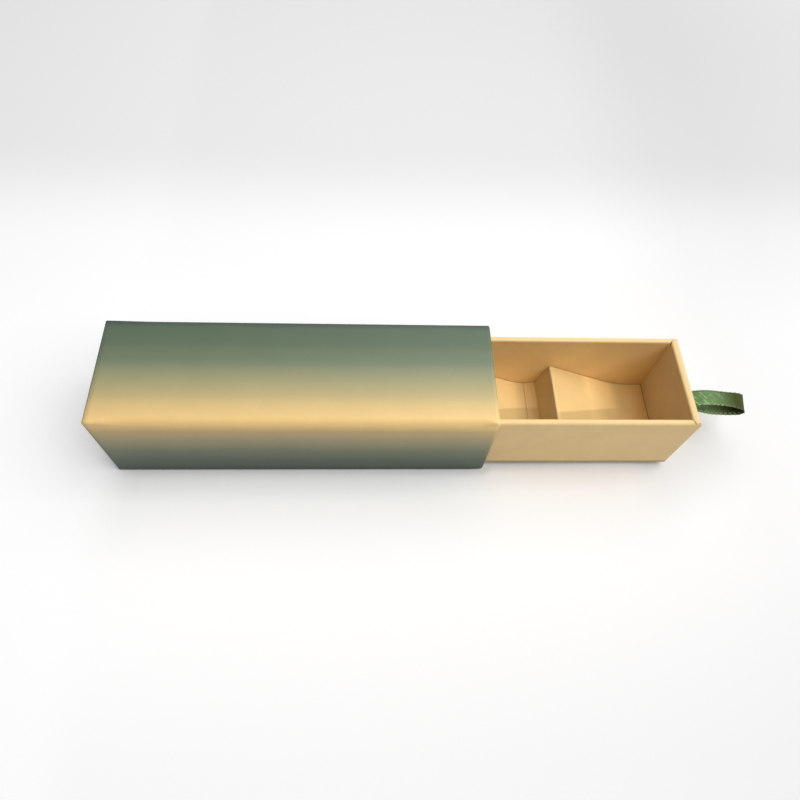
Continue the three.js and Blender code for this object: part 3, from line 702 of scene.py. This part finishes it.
def close_shade(tree, place):
    """How much light the box leaves on the floor along its front and beside its raised end."""
    off = node(tree, "ShaderNodeVectorMath", {0: place, 1: END_SHADE_PLACE}, operation="SUBTRACT")
    shares = node(
        tree, "ShaderNodeVectorMath", {0: off.outputs[0], 1: END_SHADE_SIZE}, operation="DIVIDE")
    away = node(tree, "ShaderNodeVectorMath", {0: shares.outputs[0]}, operation="LENGTH")
    x, y, _ = split(tree, place)
    by_end = product(
        tree, rescaled(tree, away.outputs["Value"], *END_SHADE_TONE, smooth=True),
        rescaled(tree, x, *END_SHADE_START, smooth=True))
    from_front = off_from(tree, y, rescaled(tree, x, *FRONT_LINE))
    by_front = product(
        tree, rescaled(tree, from_front, *FRONT_SHADE_TONE, smooth=True),
        rescaled(tree, x, *FRONT_SHADE_START), rescaled(tree, x, *FRONT_SHADE_END))
    return sum_of(tree, "SUBTRACT", sum_of(tree, "SUBTRACT", 1.0, by_end), by_front)


# How the floor's light goes from left to right and from front to back, and where it ends in an
# even glow to the left and far out.
FLOOR_MIDDLE = (0.06, 0.02, 0.0)
FLOOR_PATCH = 0.35
LEFT_TO_RIGHT = (-0.12, 0.26, 1.21, 0.875)
TO_THE_BACK = (0.13, 0.235, 1.0, 0.845)
FROM_THE_FRONT = (-0.175, -0.085, 0.945, 1.0)
BEHIND_THE_BOX = (0.07, 0.13)
BEHIND_ON_THE_LEFT = (-0.12, 0.20, -0.04, 0.03)
BEHIND_ON_THE_RIGHT = (0.19, 0.31, 0.0, -0.08)
HAZE = (0.7, 2.2, 1.0, 0.87)
GLOW_ON_THE_LEFT = (-0.117, -0.088, 0.47, 0.0)
GLOW_FAR_OUT = (0.36, 0.75)
WHITE = (1.0, 1.0, 1.0)


def floor_light(tree, place):
    """The share of its light that the floor keeps at each place near the box."""
    x, y, _ = split(tree, place)
    tilt = sum_of(
        tree, "ADD", rescaled(tree, x, *BEHIND_ON_THE_LEFT),
        rescaled(tree, x, *BEHIND_ON_THE_RIGHT))
    behind = sum_of(
        tree, "MULTIPLY_ADD", tilt, rescaled(tree, y, *BEHIND_THE_BOX),
        rescaled(tree, y, *FROM_THE_FRONT))
    return product(tree, rescaled(tree, x, *LEFT_TO_RIGHT), behind, close_shade(tree, place))


def floor_material(tone):
    """Plain pale floor that keeps the shadow. To the eye it is a white sweep that greys far off."""
    material, tree, shader = new_material("pale_floor")
    place = object_place(tree)
    x, y, _ = split(tree, place)
    level = rescaled(tree, cloud(tree, place, FLOOR_PATCH), 0.2, 0.8, 0.992, 1.0)
    tree.links.new(toned_by(tree, linear(tone), level), shader.inputs["Base Color"])
    shader.inputs["Roughness"].default_value = 0.9
    shader.inputs["Specular IOR Level"].default_value = 0.0
    far = rescaled(tree, y, *TO_THE_BACK, smooth=True)
    sweep = product(tree, floor_light(tree, place), far, level)
    lit = node(tree, "ShaderNodeBsdfDiffuse", {"Color": toned_by(tree, WHITE, sweep)})
    out = node(tree, "ShaderNodeVectorMath", {0: place, 1: FLOOR_MIDDLE}, operation="DISTANCE")
    wide = out.outputs["Value"]
    haze = sum_of(tree, "MINIMUM", far, rescaled(tree, wide, *HAZE, smooth=True))
    glow = node(tree, "ShaderNodeEmission", {"Color": toned_by(tree, WHITE, haze)})
    glowing = sum_of(
        tree, "MAXIMUM", rescaled(tree, x, *GLOW_ON_THE_LEFT, smooth=True),
        rescaled(tree, wide, *GLOW_FAR_OUT, smooth=True))
    white = mixed(tree, glowing, lit.outputs[0], glow.outputs[0])
    both = mixed(tree, seen(tree), shader.outputs[0], white)
    tree.links.new(both, tree.nodes["Material Output"].inputs["Surface"])
    return material


LAMPS_AIM = (0.06, 0.0, 0.03)


class GIFTBOX_OT_stage(bpy.types.Operator):
    """Lay the pale floor and hang the soft lamps"""

    bl_idname = "giftbox.stage"
    bl_label = "Stage"

    def execute(self, context):
        stage = context.scene.gift_box_stage
        half = stage.floor_size / 2
        mesh = bpy.data.meshes.new("floor")
        corners = [(-half, -half, 0), (half, -half, 0), (half, half, 0), (-half, half, 0)]
        mesh.from_pydata(corners, [], [(0, 1, 2, 3)])
        mesh.materials.append(floor_material(stage.floor_tone))
        floor = bpy.data.objects.new("floor", mesh)
        context.scene.collection.objects.link(floor)
        side = stage.key_size
        self.hang_lamp(context, "key", stage.key_power, side, side, stage.key_place)
        self.hang_lamp(
            context, "back", stage.back_power, stage.back_length, stage.back_width,
            stage.back_place)
        self.light_sky(context, stage)
        context.scene.view_settings.view_transform = "Standard"
        return {"FINISHED"}

    @staticmethod
    def hang_lamp(context, name, power, length, width, place):
        lamp = bpy.data.lights.new(name, "AREA")
        lamp.shape = "RECTANGLE"
        lamp.size, lamp.size_y = length, width
        lamp.energy = power
        hung = bpy.data.objects.new(name, lamp)
        context.scene.collection.objects.link(hung)
        aim = Vector(LAMPS_AIM) - Vector(place)
        hung.location = place
        hung.rotation_mode = "QUATERNION"
        hung.rotation_quaternion = aim.to_track_quat("-Z", "Y")

    @staticmethod
    def light_sky(context, stage):
        world = bpy.data.worlds.new("sky")
        context.scene.world = world
        world.use_nodes = True
        tree = world.node_tree
        tree.nodes.clear()
        even = node(tree, "ShaderNodeBackground", {"Strength": stage.sky})
        pale = node(tree, "ShaderNodeBackground", {"Color": linear(stage.sky_tone)})
        both = mixed(tree, seen(tree), even.outputs[0], pale.outputs[0])
        node(tree, "ShaderNodeOutputWorld", {0: both})


class GIFTBOX_OT_sleeve(bpy.types.Operator):
    """Print the sleeve's wrap, end sheet and base sheet"""

    bl_idname = "giftbox.sleeve"
    bl_label = "Printed sleeve"

    def execute(self, context):
        names = ["sleeve_wrap", "sleeve_end_paper", "sleeve_base_sheet"]
        dress(names, printed_paper())
        return {"FINISHED"}


class GIFTBOX_OT_linings(bpy.types.Operator):
    """Line the sleeve and the tray's floor with paper"""

    bl_idname = "giftbox.linings"
    bl_label = "Linings"

    def execute(self, context):
        paper = context.scene.gift_box_paper
        lining = cream_paper(
            "lining_paper", paper.lining, rough=0.72, low=SLEEVE_LOW, high=SLEEVE_HIGH)
        dress(["sleeve_liner", "sleeve_end_liner", "tray_floor_paper"], lining)
        return {"FINISHED"}


class GIFTBOX_OT_boards(bpy.types.Operator):
    """Give the boards and tapes under the papers their raw fibre"""

    bl_idname = "giftbox.boards"
    bl_label = "Boards and tapes"

    def execute(self, context):
        paper = context.scene.gift_box_paper
        boards = [
            name for name in nodes_named("sleeve_", "tray_")
            if name.endswith(("_board", "_facing"))
        ]
        dress(boards, raw_board("raw_greyboard", paper.board, BOARD_STREAK))
        tapes = ["sleeve_corner_tape", "ribbon_patch", *nodes_named("tray_stay_")]
        dress(tapes, raw_board("gummed_brown_tape", paper.tape, TAPE_STREAK))
        return {"FINISHED"}


class GIFTBOX_OT_tray(bpy.types.Operator):
    """Wrap the tray in cream paper"""

    bl_idname = "giftbox.tray"
    bl_label = "Tray"

    def execute(self, context):
        paper = context.scene.gift_box_paper
        wrap = cream_paper(
            "cream_wrap", paper.cream, rough=0.56, low=TRAY_LOW, high=TRAY_HIGH, tone=wrap_painted_light)
        dress(["tray_wrap"], wrap)
        return {"FINISHED"}


# How far down each card's top ridge a patchy paler line reaches.
RIDGE_PALE_LINE_REACH = 0.7 * MM


class GIFTBOX_OT_cards(bpy.types.Operator):
    """Finish the folded wedge cards"""

    bl_idname = "giftbox.cards"
    bl_label = "Wedge cards"

    def execute(self, context):
        paper = context.scene.gift_box_paper
        low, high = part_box(CARDS[0])
        card = cream_paper(
            "folded_card", paper.card, rough=0.60, low=low, high=high, tone=card_painted_light,
            ridge=RIDGE_PALE_LINE_REACH)
        dress(CARDS, card)
        return {"FINISHED"}


# The ribbon's route, as in the model: out along the top of the loop and back below, as shares of
# its reach and rise.
LOOP_REACH = 43.6 * MM
LOOP_RISE = 6.1 * MM
STRAND_PITCH = 0.7 * MM
TAIL_LENGTH = 12 * MM
RIBBON_BEND = 0.45 * MM
GLUE_AIR = 0.04 * MM
LOOP_SHARES = (
    (0.05, 0.1), (0.12, 0.36), (0.22, 0.66), (0.34, 0.85), (0.47, 0.89), (0.6, 0.76),
    (0.73, 0.57), (0.85, 0.4), (0.94, 0.14), (0.99, -0.2), (0.98, -0.54), (0.93, -0.8),
    (0.84, -0.96), (0.74, -1.0), (0.64, -0.97), (0.54, -0.83), (0.46, -0.62), (0.38, -0.42),
    (0.28, -0.26), (0.15, -0.16), (0.05, -0.1),
)
ROUTE_STEP = 0.4 * MM
SPAN_STEPS = 12
BEND_STEPS = 6


def through(knots):
    """Points on a smooth curve through the knots."""
    points = []
    for i in range(len(knots) - 1):
        before = knots[max(i - 1, 0)]
        start, end = knots[i], knots[i + 1]
        after = knots[min(i + 2, len(knots) - 1)]
        leave, arrive = (end - before) / 2, (after - start) / 2
        for k in range(SPAN_STEPS):
            t = k / SPAN_STEPS
            points.append(
                (2 * t**3 - 3 * t**2 + 1) * start + (t**3 - 2 * t**2 + t) * leave
                + (3 * t**2 - 2 * t**3) * end + (t**3 - t**2) * arrive)
    return [*points, knots[-1]]


def quarter_turn(corner, away, onward, radius):
    """Points round a right-angled bend, from along away to along onward."""
    centre = corner + radius * (away + onward)
    return [
        centre - radius * (math.cos(t) * onward + math.sin(t) * away)
        for t in (math.pi / 2 * k / BEND_STEPS for k in range(BEND_STEPS + 1))
    ]


def evenly(points):
    """The same route with a point at every step of its length, and that length."""
    lengths = [0.0]
    for a, b in zip(points, points[1:]):
        lengths.append(lengths[-1] + (b - a).length)
    count = max(2, round(lengths[-1] / ROUTE_STEP))
    even, at = [], 0
    for k in range(count + 1):
        want = lengths[-1] * k / count
        while at < len(points) - 2 and lengths[at + 1] < want:
            at += 1
        span = lengths[at + 1] - lengths[at]
        share = (want - lengths[at]) / span if span else 0.0
        even.append(points[at].lerp(points[at + 1], min(share, 1.0)))
    return even, lengths[-1]


def ribbon_route():
    """The middle line of the ribbon in X and Z, from one glued tail round the loop to the other."""
    face = TRAY_HIGH.x
    slot = (RIBBON_LOW.z + RIBBON_HIGH.z) / 2
    tail = RIBBON_LOW.x + packed_thickness() / 2
    out, up = Vector((1.0, 0.0)), Vector((0.0, 1.0))
    high = Vector((tail, slot + STRAND_PITCH / 2))
    low = Vector((tail, slot - STRAND_PITCH / 2))
    lead = face + LOOP_REACH * LOOP_SHARES[0][0]
    knots = [
        Vector((face + LOOP_REACH * reach, slot + LOOP_RISE * rise))
        for reach, rise in LOOP_SHARES
    ]
    knots = [Vector((lead, high.y)), *knots, Vector((lead, low.y))]
    first_bend = quarter_turn(high, up, out, RIBBON_BEND)
    last_bend = quarter_turn(low, out, -up, RIBBON_BEND)
    points = [
        high + up * TAIL_LENGTH, *first_bend, *through(knots), *last_bend,
        low - up * TAIL_LENGTH,
    ]
    return evenly(points)


def packed_thickness():
    """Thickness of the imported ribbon, from the gap between the board and the patch on its tails."""
    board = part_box("tray_pull_end_board")[0]
    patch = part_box("ribbon_patch")[1]
    return board.x - patch.x - 2 * GLUE_AIR


# How far the ribbon's near and far edges lift from its middle line, and how far its far edge runs
# on, at distances along the ribbon from the fold of its loop.
NEAR_LIFT = (
    (-45, 0.0), (-36, 1.0), (-20, 0.7), (-12, 0.1), (-5, -0.8), (0, -1.4), (3, -1.0), (8, 0.1),
    (16, 0.5), (30, 0.4), (40, 0.0),
)
FAR_LIFT = ((-12, 0.0), (-3, 0.5), (1, 0.5), (8, 0.0))
FAR_REACH = ((-14, 0.0), (-3, 0.8), (2, 0.8), (12, 0.0))

# The ribbon starts to come free at this share of its length from either end, and is quite free
# over the next one.
FREE_SHARE = 0.15
FREED_OVER_SHARE = 0.10


def read_off(table, at):
    """The value of a table of (millimetres, millimetres) at a distance, held at both ends."""
    at /= MM
    if at <= table[0][0]:
        return table[0][1] * MM
    for (low, first), (high, second) in zip(table, table[1:]):
        if at <= high:
            share = (at - low) / (high - low)
            return (first + (second - first) * share * share * (3 - 2 * share)) * MM
    return table[-1][1] * MM


class RibbonRoute:
    """The route of the ribbon, and places on the ribbon by their distance along and across it."""

    def __init__(self, ribbon):
        self.ribbon = ribbon
        self.points, self.length = ribbon_route()
        self.step = self.length / (len(self.points) - 1)
        self.fold = max(range(len(self.points)), key=lambda i: self.points[i].x)

    def loose(self, along):
        """0 in the tails and the slot, rising to 1 round the free loop."""
        share = along / self.length
        nearer_end = min(share, 1 - share)
        return max(0.0, min(1.0, (nearer_end - FREE_SHARE) / FREED_OVER_SHARE))

    def place(self, along, side, out):
        """The place at a distance along, a side from -1 to 1, and a height over the middle."""
        exact = max(0.0, min(along / self.step, len(self.points) - 1.001))
        i = int(exact)
        point = self.points[i].lerp(self.points[i + 1], exact - i)
        before, after = self.points[max(i - 1, 0)], self.points[min(i + 2, len(self.points) - 1)]
        ahead = (after - before).normalized()
        square = Vector((-ahead.y, ahead.x))
        past = along - self.fold * self.step
        near, far = (1 - side) / 2, (1 + side) / 2
        lift = near * read_off(NEAR_LIFT, past) + far * read_off(FAR_LIFT, past)
        reach = far * read_off(FAR_REACH, past)
        loose = self.loose(along)
        return Vector((
            point.x + square.x * out + loose * reach,
            side * self.ribbon.width / 2,
            point.y + square.y * out + loose * lift,
        ))


EDGE_CURL = 0.14 * MM
RIPPLE = 0.05 * MM
RIPPLE_REACH = 2.9 * MM


def section_height(route, along, side):
    """Height of the ribbon's middle layer over its route: its edges curl and its face ripples."""
    curl = EDGE_CURL * abs(side) ** 3
    ripple = RIPPLE * math.sin(along / RIPPLE_REACH + 2.0 * side)
    return route.loose(along) * (curl + ripple)


# The ribbon's columns of points, how squarely its edges end and half the thickness left there.
COLUMNS = 20
EDGE_SQUARENESS = 14
EDGE_HALF = 0.01 * MM


def half_thickness(ribbon, side):
    """Half the ribbon's thickness, which rounds off at its two edges."""
    return ribbon.thickness / 2 * math.sqrt(max(0.0, 1 - abs(side) ** EDGE_SQUARENESS)) + EDGE_HALF


def ribbon_mesh(route):
    """The woven strip, closed all round, with its own distances along and across kept on it."""
    ribbon = route.ribbon
    made = bmesh.new()
    rings, woven_places = [], []
    for i in range(len(route.points)):
        along = i * route.step
        ring = []
        for face, columns in ((1, range(COLUMNS + 1)), (-1, range(COLUMNS, -1, -1))):
            for j in columns:
                side = 2 * j / COLUMNS - 1
                height = section_height(route, along, side) + face * half_thickness(ribbon, side)
                ring.append(made.verts.new(route.place(along, side, height)))
                woven_places.extend((along, side * ribbon.width / 2, 0.0))
        rings.append(ring)
    count = len(rings[0])
    for near, far in zip(rings, rings[1:]):
        for j in range(count):
            k = (j + 1) % count
            made.faces.new((near[j], near[k], far[k], far[j]))
    made.faces.new(rings[0][::-1])
    made.faces.new(rings[-1])
    bmesh.ops.recalc_face_normals(made, faces=made.faces)
    return smooth_mesh("ribbon_loop", made, woven_places)


def smooth_mesh(name, made, woven_places):
    """A smooth mesh that keeps, at each point, its distances along and across the ribbon."""
    mesh = bpy.data.meshes.new(name)
    made.to_mesh(mesh)
    made.free()
    for face in mesh.polygons:
        face.use_smooth = True
    woven = mesh.attributes.new("woven_place", "FLOAT_VECTOR", "POINT")
    woven.data.foreach_set("vector", woven_places)
    return mesh


def woven_place(tree):
    """The distances along and across the ribbon that its meshes keep."""
    return node(tree, "ShaderNodeAttribute", attribute_name="woven_place").outputs["Vector"]


# The slant of the satin's picks and painted sheen streaks, the sizes of its threads, blotches and
# sheen streaks, and the stretch behind the loop's fold where a painted highlight stands for the light
# that catches its near edge. Round the fold the satin is rougher and painted in shade, and it is dark
# along its far edge.
PICK_SLANT = 0.62
FLOATS_A_PICK = 1.35
SHEEN_STREAK_TURN = math.radians(62)
BLOTCH = 2.6 * MM
FLOAT_SIZE = 0.5 * MM
SHEEN_STREAK = 0.9 * MM
CAUGHT_PLACE = 15 * MM
CAUGHT_TONE = (4 * MM, 11 * MM, 0.30, 0.0)
CAUGHT_ACROSS = (-1 * MM, -3 * MM)
DULL_AND_SHADED_ROUND_FOLD = (8 * MM, 23 * MM, 1.0, 0.0)
FAR_EDGE_START = 1.3 * MM
FAR_EDGE_END = 0.5 * MM
SATIN_RELIEF = 0.05 * MM


def satin_weave(tree, ribbon, along, across):
    """The picks and floats of the weave, as a height of about 0 to 1."""
    turns = 2 * math.pi / ribbon.pick
    shifted = sum_of(tree, "MULTIPLY_ADD", across, PICK_SLANT, along)
    picks = sum_of(tree, "SINE", product(tree, shifted, turns))
    floats = sum_of(tree, "SINE", product(tree, across, turns * FLOATS_A_PICK))
    return sum_of(tree, "MULTIPLY_ADD", picks, 0.32, sum_of(
        tree, "MULTIPLY_ADD", floats, 0.18, 0.5))


def satin_material(ribbon, fold):
    """Woven satin: long glossy floats over fine picks, with painted sheen streaks here and there and
    painted shade round the fold.
    """
    material, tree, shader = new_material("green_satin")
    place = woven_place(tree)
    along, across, _ = split(tree, place)
    weave = satin_weave(tree, ribbon, along, across)
    blotch = cloud(tree, place, BLOTCH, 3.0, 0.6)
    # The weave and its blotches mix the shaded and the lit copy of the green: painted light and
    # shade.
    share = sum_of(tree, "MULTIPLY_ADD", weave, 0.40, sum_of(
        tree, "MULTIPLY_ADD", blotch, 0.7, -0.15), clamp=True)
    woven = blended(tree, share, linear(ribbon.deep), linear(ribbon.face))
    slanted = node(tree, "ShaderNodeVectorRotate", {"Vector": place, "Angle": SHEEN_STREAK_TURN})
    slanted.rotation_type = "Z_AXIS"
    streaks = cloud(tree, slanted.outputs[0], SHEEN_STREAK, 2.0, 0.5, (0.12, 1.0, 1.0))
    sheen_streaks = product(tree, rescaled(tree, streaks, 0.58, 0.70), 0.5)
    bright = blended(tree, sheen_streaks, woven, linear(ribbon.edge))
    past = sum_of(tree, "SUBTRACT", along, fold)
    # A painted highlight where the light would catch the near edge behind the fold.
    caught = product(
        tree, rescaled(tree, off_from(tree, past, CAUGHT_PLACE), *CAUGHT_TONE, smooth=True),
        rescaled(tree, across, *CAUGHT_ACROSS))
    lit = blended(tree, caught, bright, linear(ribbon.edge))
    dull_and_shaded = rescaled(tree, sum_of(tree, "ABSOLUTE", past), *DULL_AND_SHADED_ROUND_FOLD)
    # The olive round the fold is painted shade; the rougher, less metallic finish there is real.
    olive = blended(tree, dull_and_shaded, lit, linear(ribbon.olive))
    half = ribbon.width / 2
    rim = rescaled(tree, across, half - FAR_EDGE_START, half - FAR_EDGE_END, 0.0, 0.85)
    colour = blended(tree, rim, olive, linear(ribbon.deep))
    tree.links.new(colour, shader.inputs["Base Color"])
    worn = sum_of(tree, "MULTIPLY_ADD", dull_and_shaded, 0.25, rescaled(tree, blotch, 0.3, 0.7, 0.30, 0.46))
    tree.links.new(worn, shader.inputs["Roughness"])
    threads = cloud(tree, place, FLOAT_SIZE, 2.0, 0.6, (0.25, 1.0, 1.0))
    relief(tree, shader, sum_of(tree, "MULTIPLY_ADD", threads, 0.5, weave), SATIN_RELIEF)
    tree.links.new(rescaled(tree, dull_and_shaded, 0.0, 1.0, 0.45, 0.15), shader.inputs["Metallic"])
    tree.links.new(rescaled(tree, dull_and_shaded, 0.0, 1.0, 0.45, 0.05), shader.inputs["Specular IOR Level"])
    return material


# The stitches' fine strands, and the stretch of the edge, from the fold, where they take the painted
# shade of the fold.
STRAND = 0.12 * MM
STRAND_RELIEF = 0.03 * MM
FOLD_SHADE_FROM = (-20 * MM, -16 * MM, 0.0, 0.85)
FOLD_SHADE_TO = (2 * MM, 4 * MM, 1.0, 0.0)


def thread_material(ribbon, fold):
    """Pale glossy thread of the ribbon's edges, with painted shade round the fold of the loop."""
    material, tree, shader = new_material("edge_thread")
    strands = cloud(tree, object_place(tree), STRAND, 2.0, 0.6)
    pale = blended(
        tree, rescaled(tree, strands, 0.3, 0.7), linear(ribbon.face), linear(ribbon.edge))
    past = sum_of(tree, "SUBTRACT", split(tree, woven_place(tree))[0], fold)
    # The olive laid round the fold is painted shade.
    worn = product(tree, rescaled(tree, past, *FOLD_SHADE_FROM), rescaled(tree, past, *FOLD_SHADE_TO))
    colour = blended(tree, worn, pale, linear(ribbon.olive))
    tree.links.new(colour, shader.inputs["Base Color"])
    tree.links.new(rescaled(tree, strands, 0.3, 0.7, 0.30, 0.45), shader.inputs["Roughness"])
    relief(tree, shader, strands, STRAND_RELIEF)
    return material


# Where the row of stitches starts and ends, as shares of the ribbon's length, and one stitch.
STITCHED_SHARES = (0.19, 0.81)
STITCH_REACH_SHARE = 0.52
STITCH_ENDS_IN = 0.28 * MM
STITCH_BOW = 0.20 * MM
STITCH_SIDES = 6
STITCH_BENDS = 8


def edge_stitches_mesh(route):
    """Short floats of thread along both edges of the free part of the ribbon, on both faces."""
    made = bmesh.new()
    woven_places = []
    first, last = (share * route.length for share in STITCHED_SHARES)
    along = first
    while along < last:
        for side in (-1, 1):
            for face in (-1, 1):
                add_stitch(made, woven_places, route, along, side, face)
        along += route.ribbon.stitch_pitch
    return smooth_mesh("ribbon_edge_stitches", made, woven_places)


def stitch_centres(route, start, side, face):
    """The middle line of one stitch, which rises near the edge, bows towards it and sinks again."""
    ribbon = route.ribbon
    inset = STITCH_ENDS_IN + (ribbon.inner_inset if face < 0 else 0.0)
    centres = []
    for k in range(STITCH_BENDS + 1):
        bow = math.sin(math.pi * k / STITCH_BENDS)
        along = start + STITCH_REACH_SHARE * ribbon.stitch_pitch * k / STITCH_BENDS
        where = side * (1 - (inset - STITCH_BOW * bow) / (ribbon.width / 2))
        rise = ribbon.thickness / 2 + ribbon.stitch_thread * (0.9 * bow - 0.5)
        height = section_height(route, along, where) + face * rise
        centres.append(route.place(along, where, height))
    return centres


def add_stitch(made, woven_places, route, start, side, face):
    """Adds one thread, closed at both ends, to the mesh of the stitches."""
    ribbon = route.ribbon
    centres = stitch_centres(route, start, side, face)
    rings = []
    for k, centre in enumerate(centres):
        ahead = (centres[min(k + 1, STITCH_BENDS)] - centres[max(k - 1, 0)]).normalized()
        first = ahead.cross(Vector((0.0, 1.0, 0.0))).normalized()
        second = ahead.cross(first).normalized()
        turns = (2 * math.pi * turn / STITCH_SIDES for turn in range(STITCH_SIDES))
        rings.append([
            made.verts.new(centre + ribbon.stitch_thread * (
                math.cos(turn) * first + math.sin(turn) * second))
            for turn in turns
        ])
        woven_places.extend((start, side * ribbon.width / 2, 0.0) * STITCH_SIDES)
    faces = []
    for near, far in zip(rings, rings[1:]):
        for j in range(STITCH_SIDES):
            k = (j + 1) % STITCH_SIDES
            faces.append(made.faces.new((near[j], near[k], far[k], far[j])))
    faces.append(made.faces.new(rings[0][::-1]))
    faces.append(made.faces.new(rings[-1]))
    bmesh.ops.recalc_face_normals(made, faces=faces)


class GIFTBOX_OT_ribbon(bpy.types.Operator):
    """Weave the ribbon pull and its edge threads"""

    bl_idname = "giftbox.ribbon"
    bl_label = "Ribbon pull"

    def execute(self, context):
        ribbon = context.scene.gift_box_ribbon
        route = RibbonRoute(ribbon)
        loop = bpy.data.objects.new("ribbon_loop", ribbon_mesh(route))
        edging = bpy.data.objects.new("ribbon_edge_stitches", edge_stitches_mesh(route))
        fold = route.fold * route.step
        finishes = (satin_material(ribbon, fold), thread_material(ribbon, fold))
        for piece, material in zip((loop, edging), finishes):
            context.scene.collection.objects.link(piece)
            piece.data.materials.append(material)
            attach(piece, "drawer")
        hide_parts("ribbon_pull")
        return {"FINISHED"}


STEPS = (
    GIFTBOX_OT_camera,
    GIFTBOX_OT_stage,
    GIFTBOX_OT_sleeve,
    GIFTBOX_OT_linings,
    GIFTBOX_OT_boards,
    GIFTBOX_OT_tray,
    GIFTBOX_OT_cards,
    GIFTBOX_OT_ribbon,
)
SETTINGS = {
    "gift_box_print": GiftBoxPrint,
    "gift_box_paper": GiftBoxPaper,
    "gift_box_ribbon": GiftBoxRibbon,
    "gift_box_stage": GiftBoxStage,
}


class GIFTBOX_PT_panel(bpy.types.Panel):
    """Steps and settings of the gift box"""

    bl_label = "Gift Box"
    bl_space_type = "VIEW_3D"
    bl_region_type = "UI"
    bl_category = "Gift Box"

    def draw(self, context):
        for step in STEPS:
            self.layout.operator(step.bl_idname)
        for name in SETTINGS:
            group = getattr(context.scene, name)
            box = self.layout.box()
            for key in group.bl_rna.properties.keys():
                if key not in {"rna_type", "name"}:
                    box.prop(group, key)


CLASSES = (*SETTINGS.values(), *STEPS, GIFTBOX_PT_panel)


def register():
    for each in CLASSES:
        bpy.utils.register_class(each)
    for name, group in SETTINGS.items():
        setattr(bpy.types.Scene, name, PointerProperty(type=group))


def unregister():
    for name in SETTINGS:
        delattr(bpy.types.Scene, name)
    for each in reversed(CLASSES):
        bpy.utils.unregister_class(each)


def run(step):
    """Calls one operator through bpy.ops by its own name."""
    family, name = step.bl_idname.split(".")
    getattr(getattr(bpy.ops, family), name)()


def main():
    register()
    for step in STEPS:
        run(step)


if __name__ == "__main__":
    main()
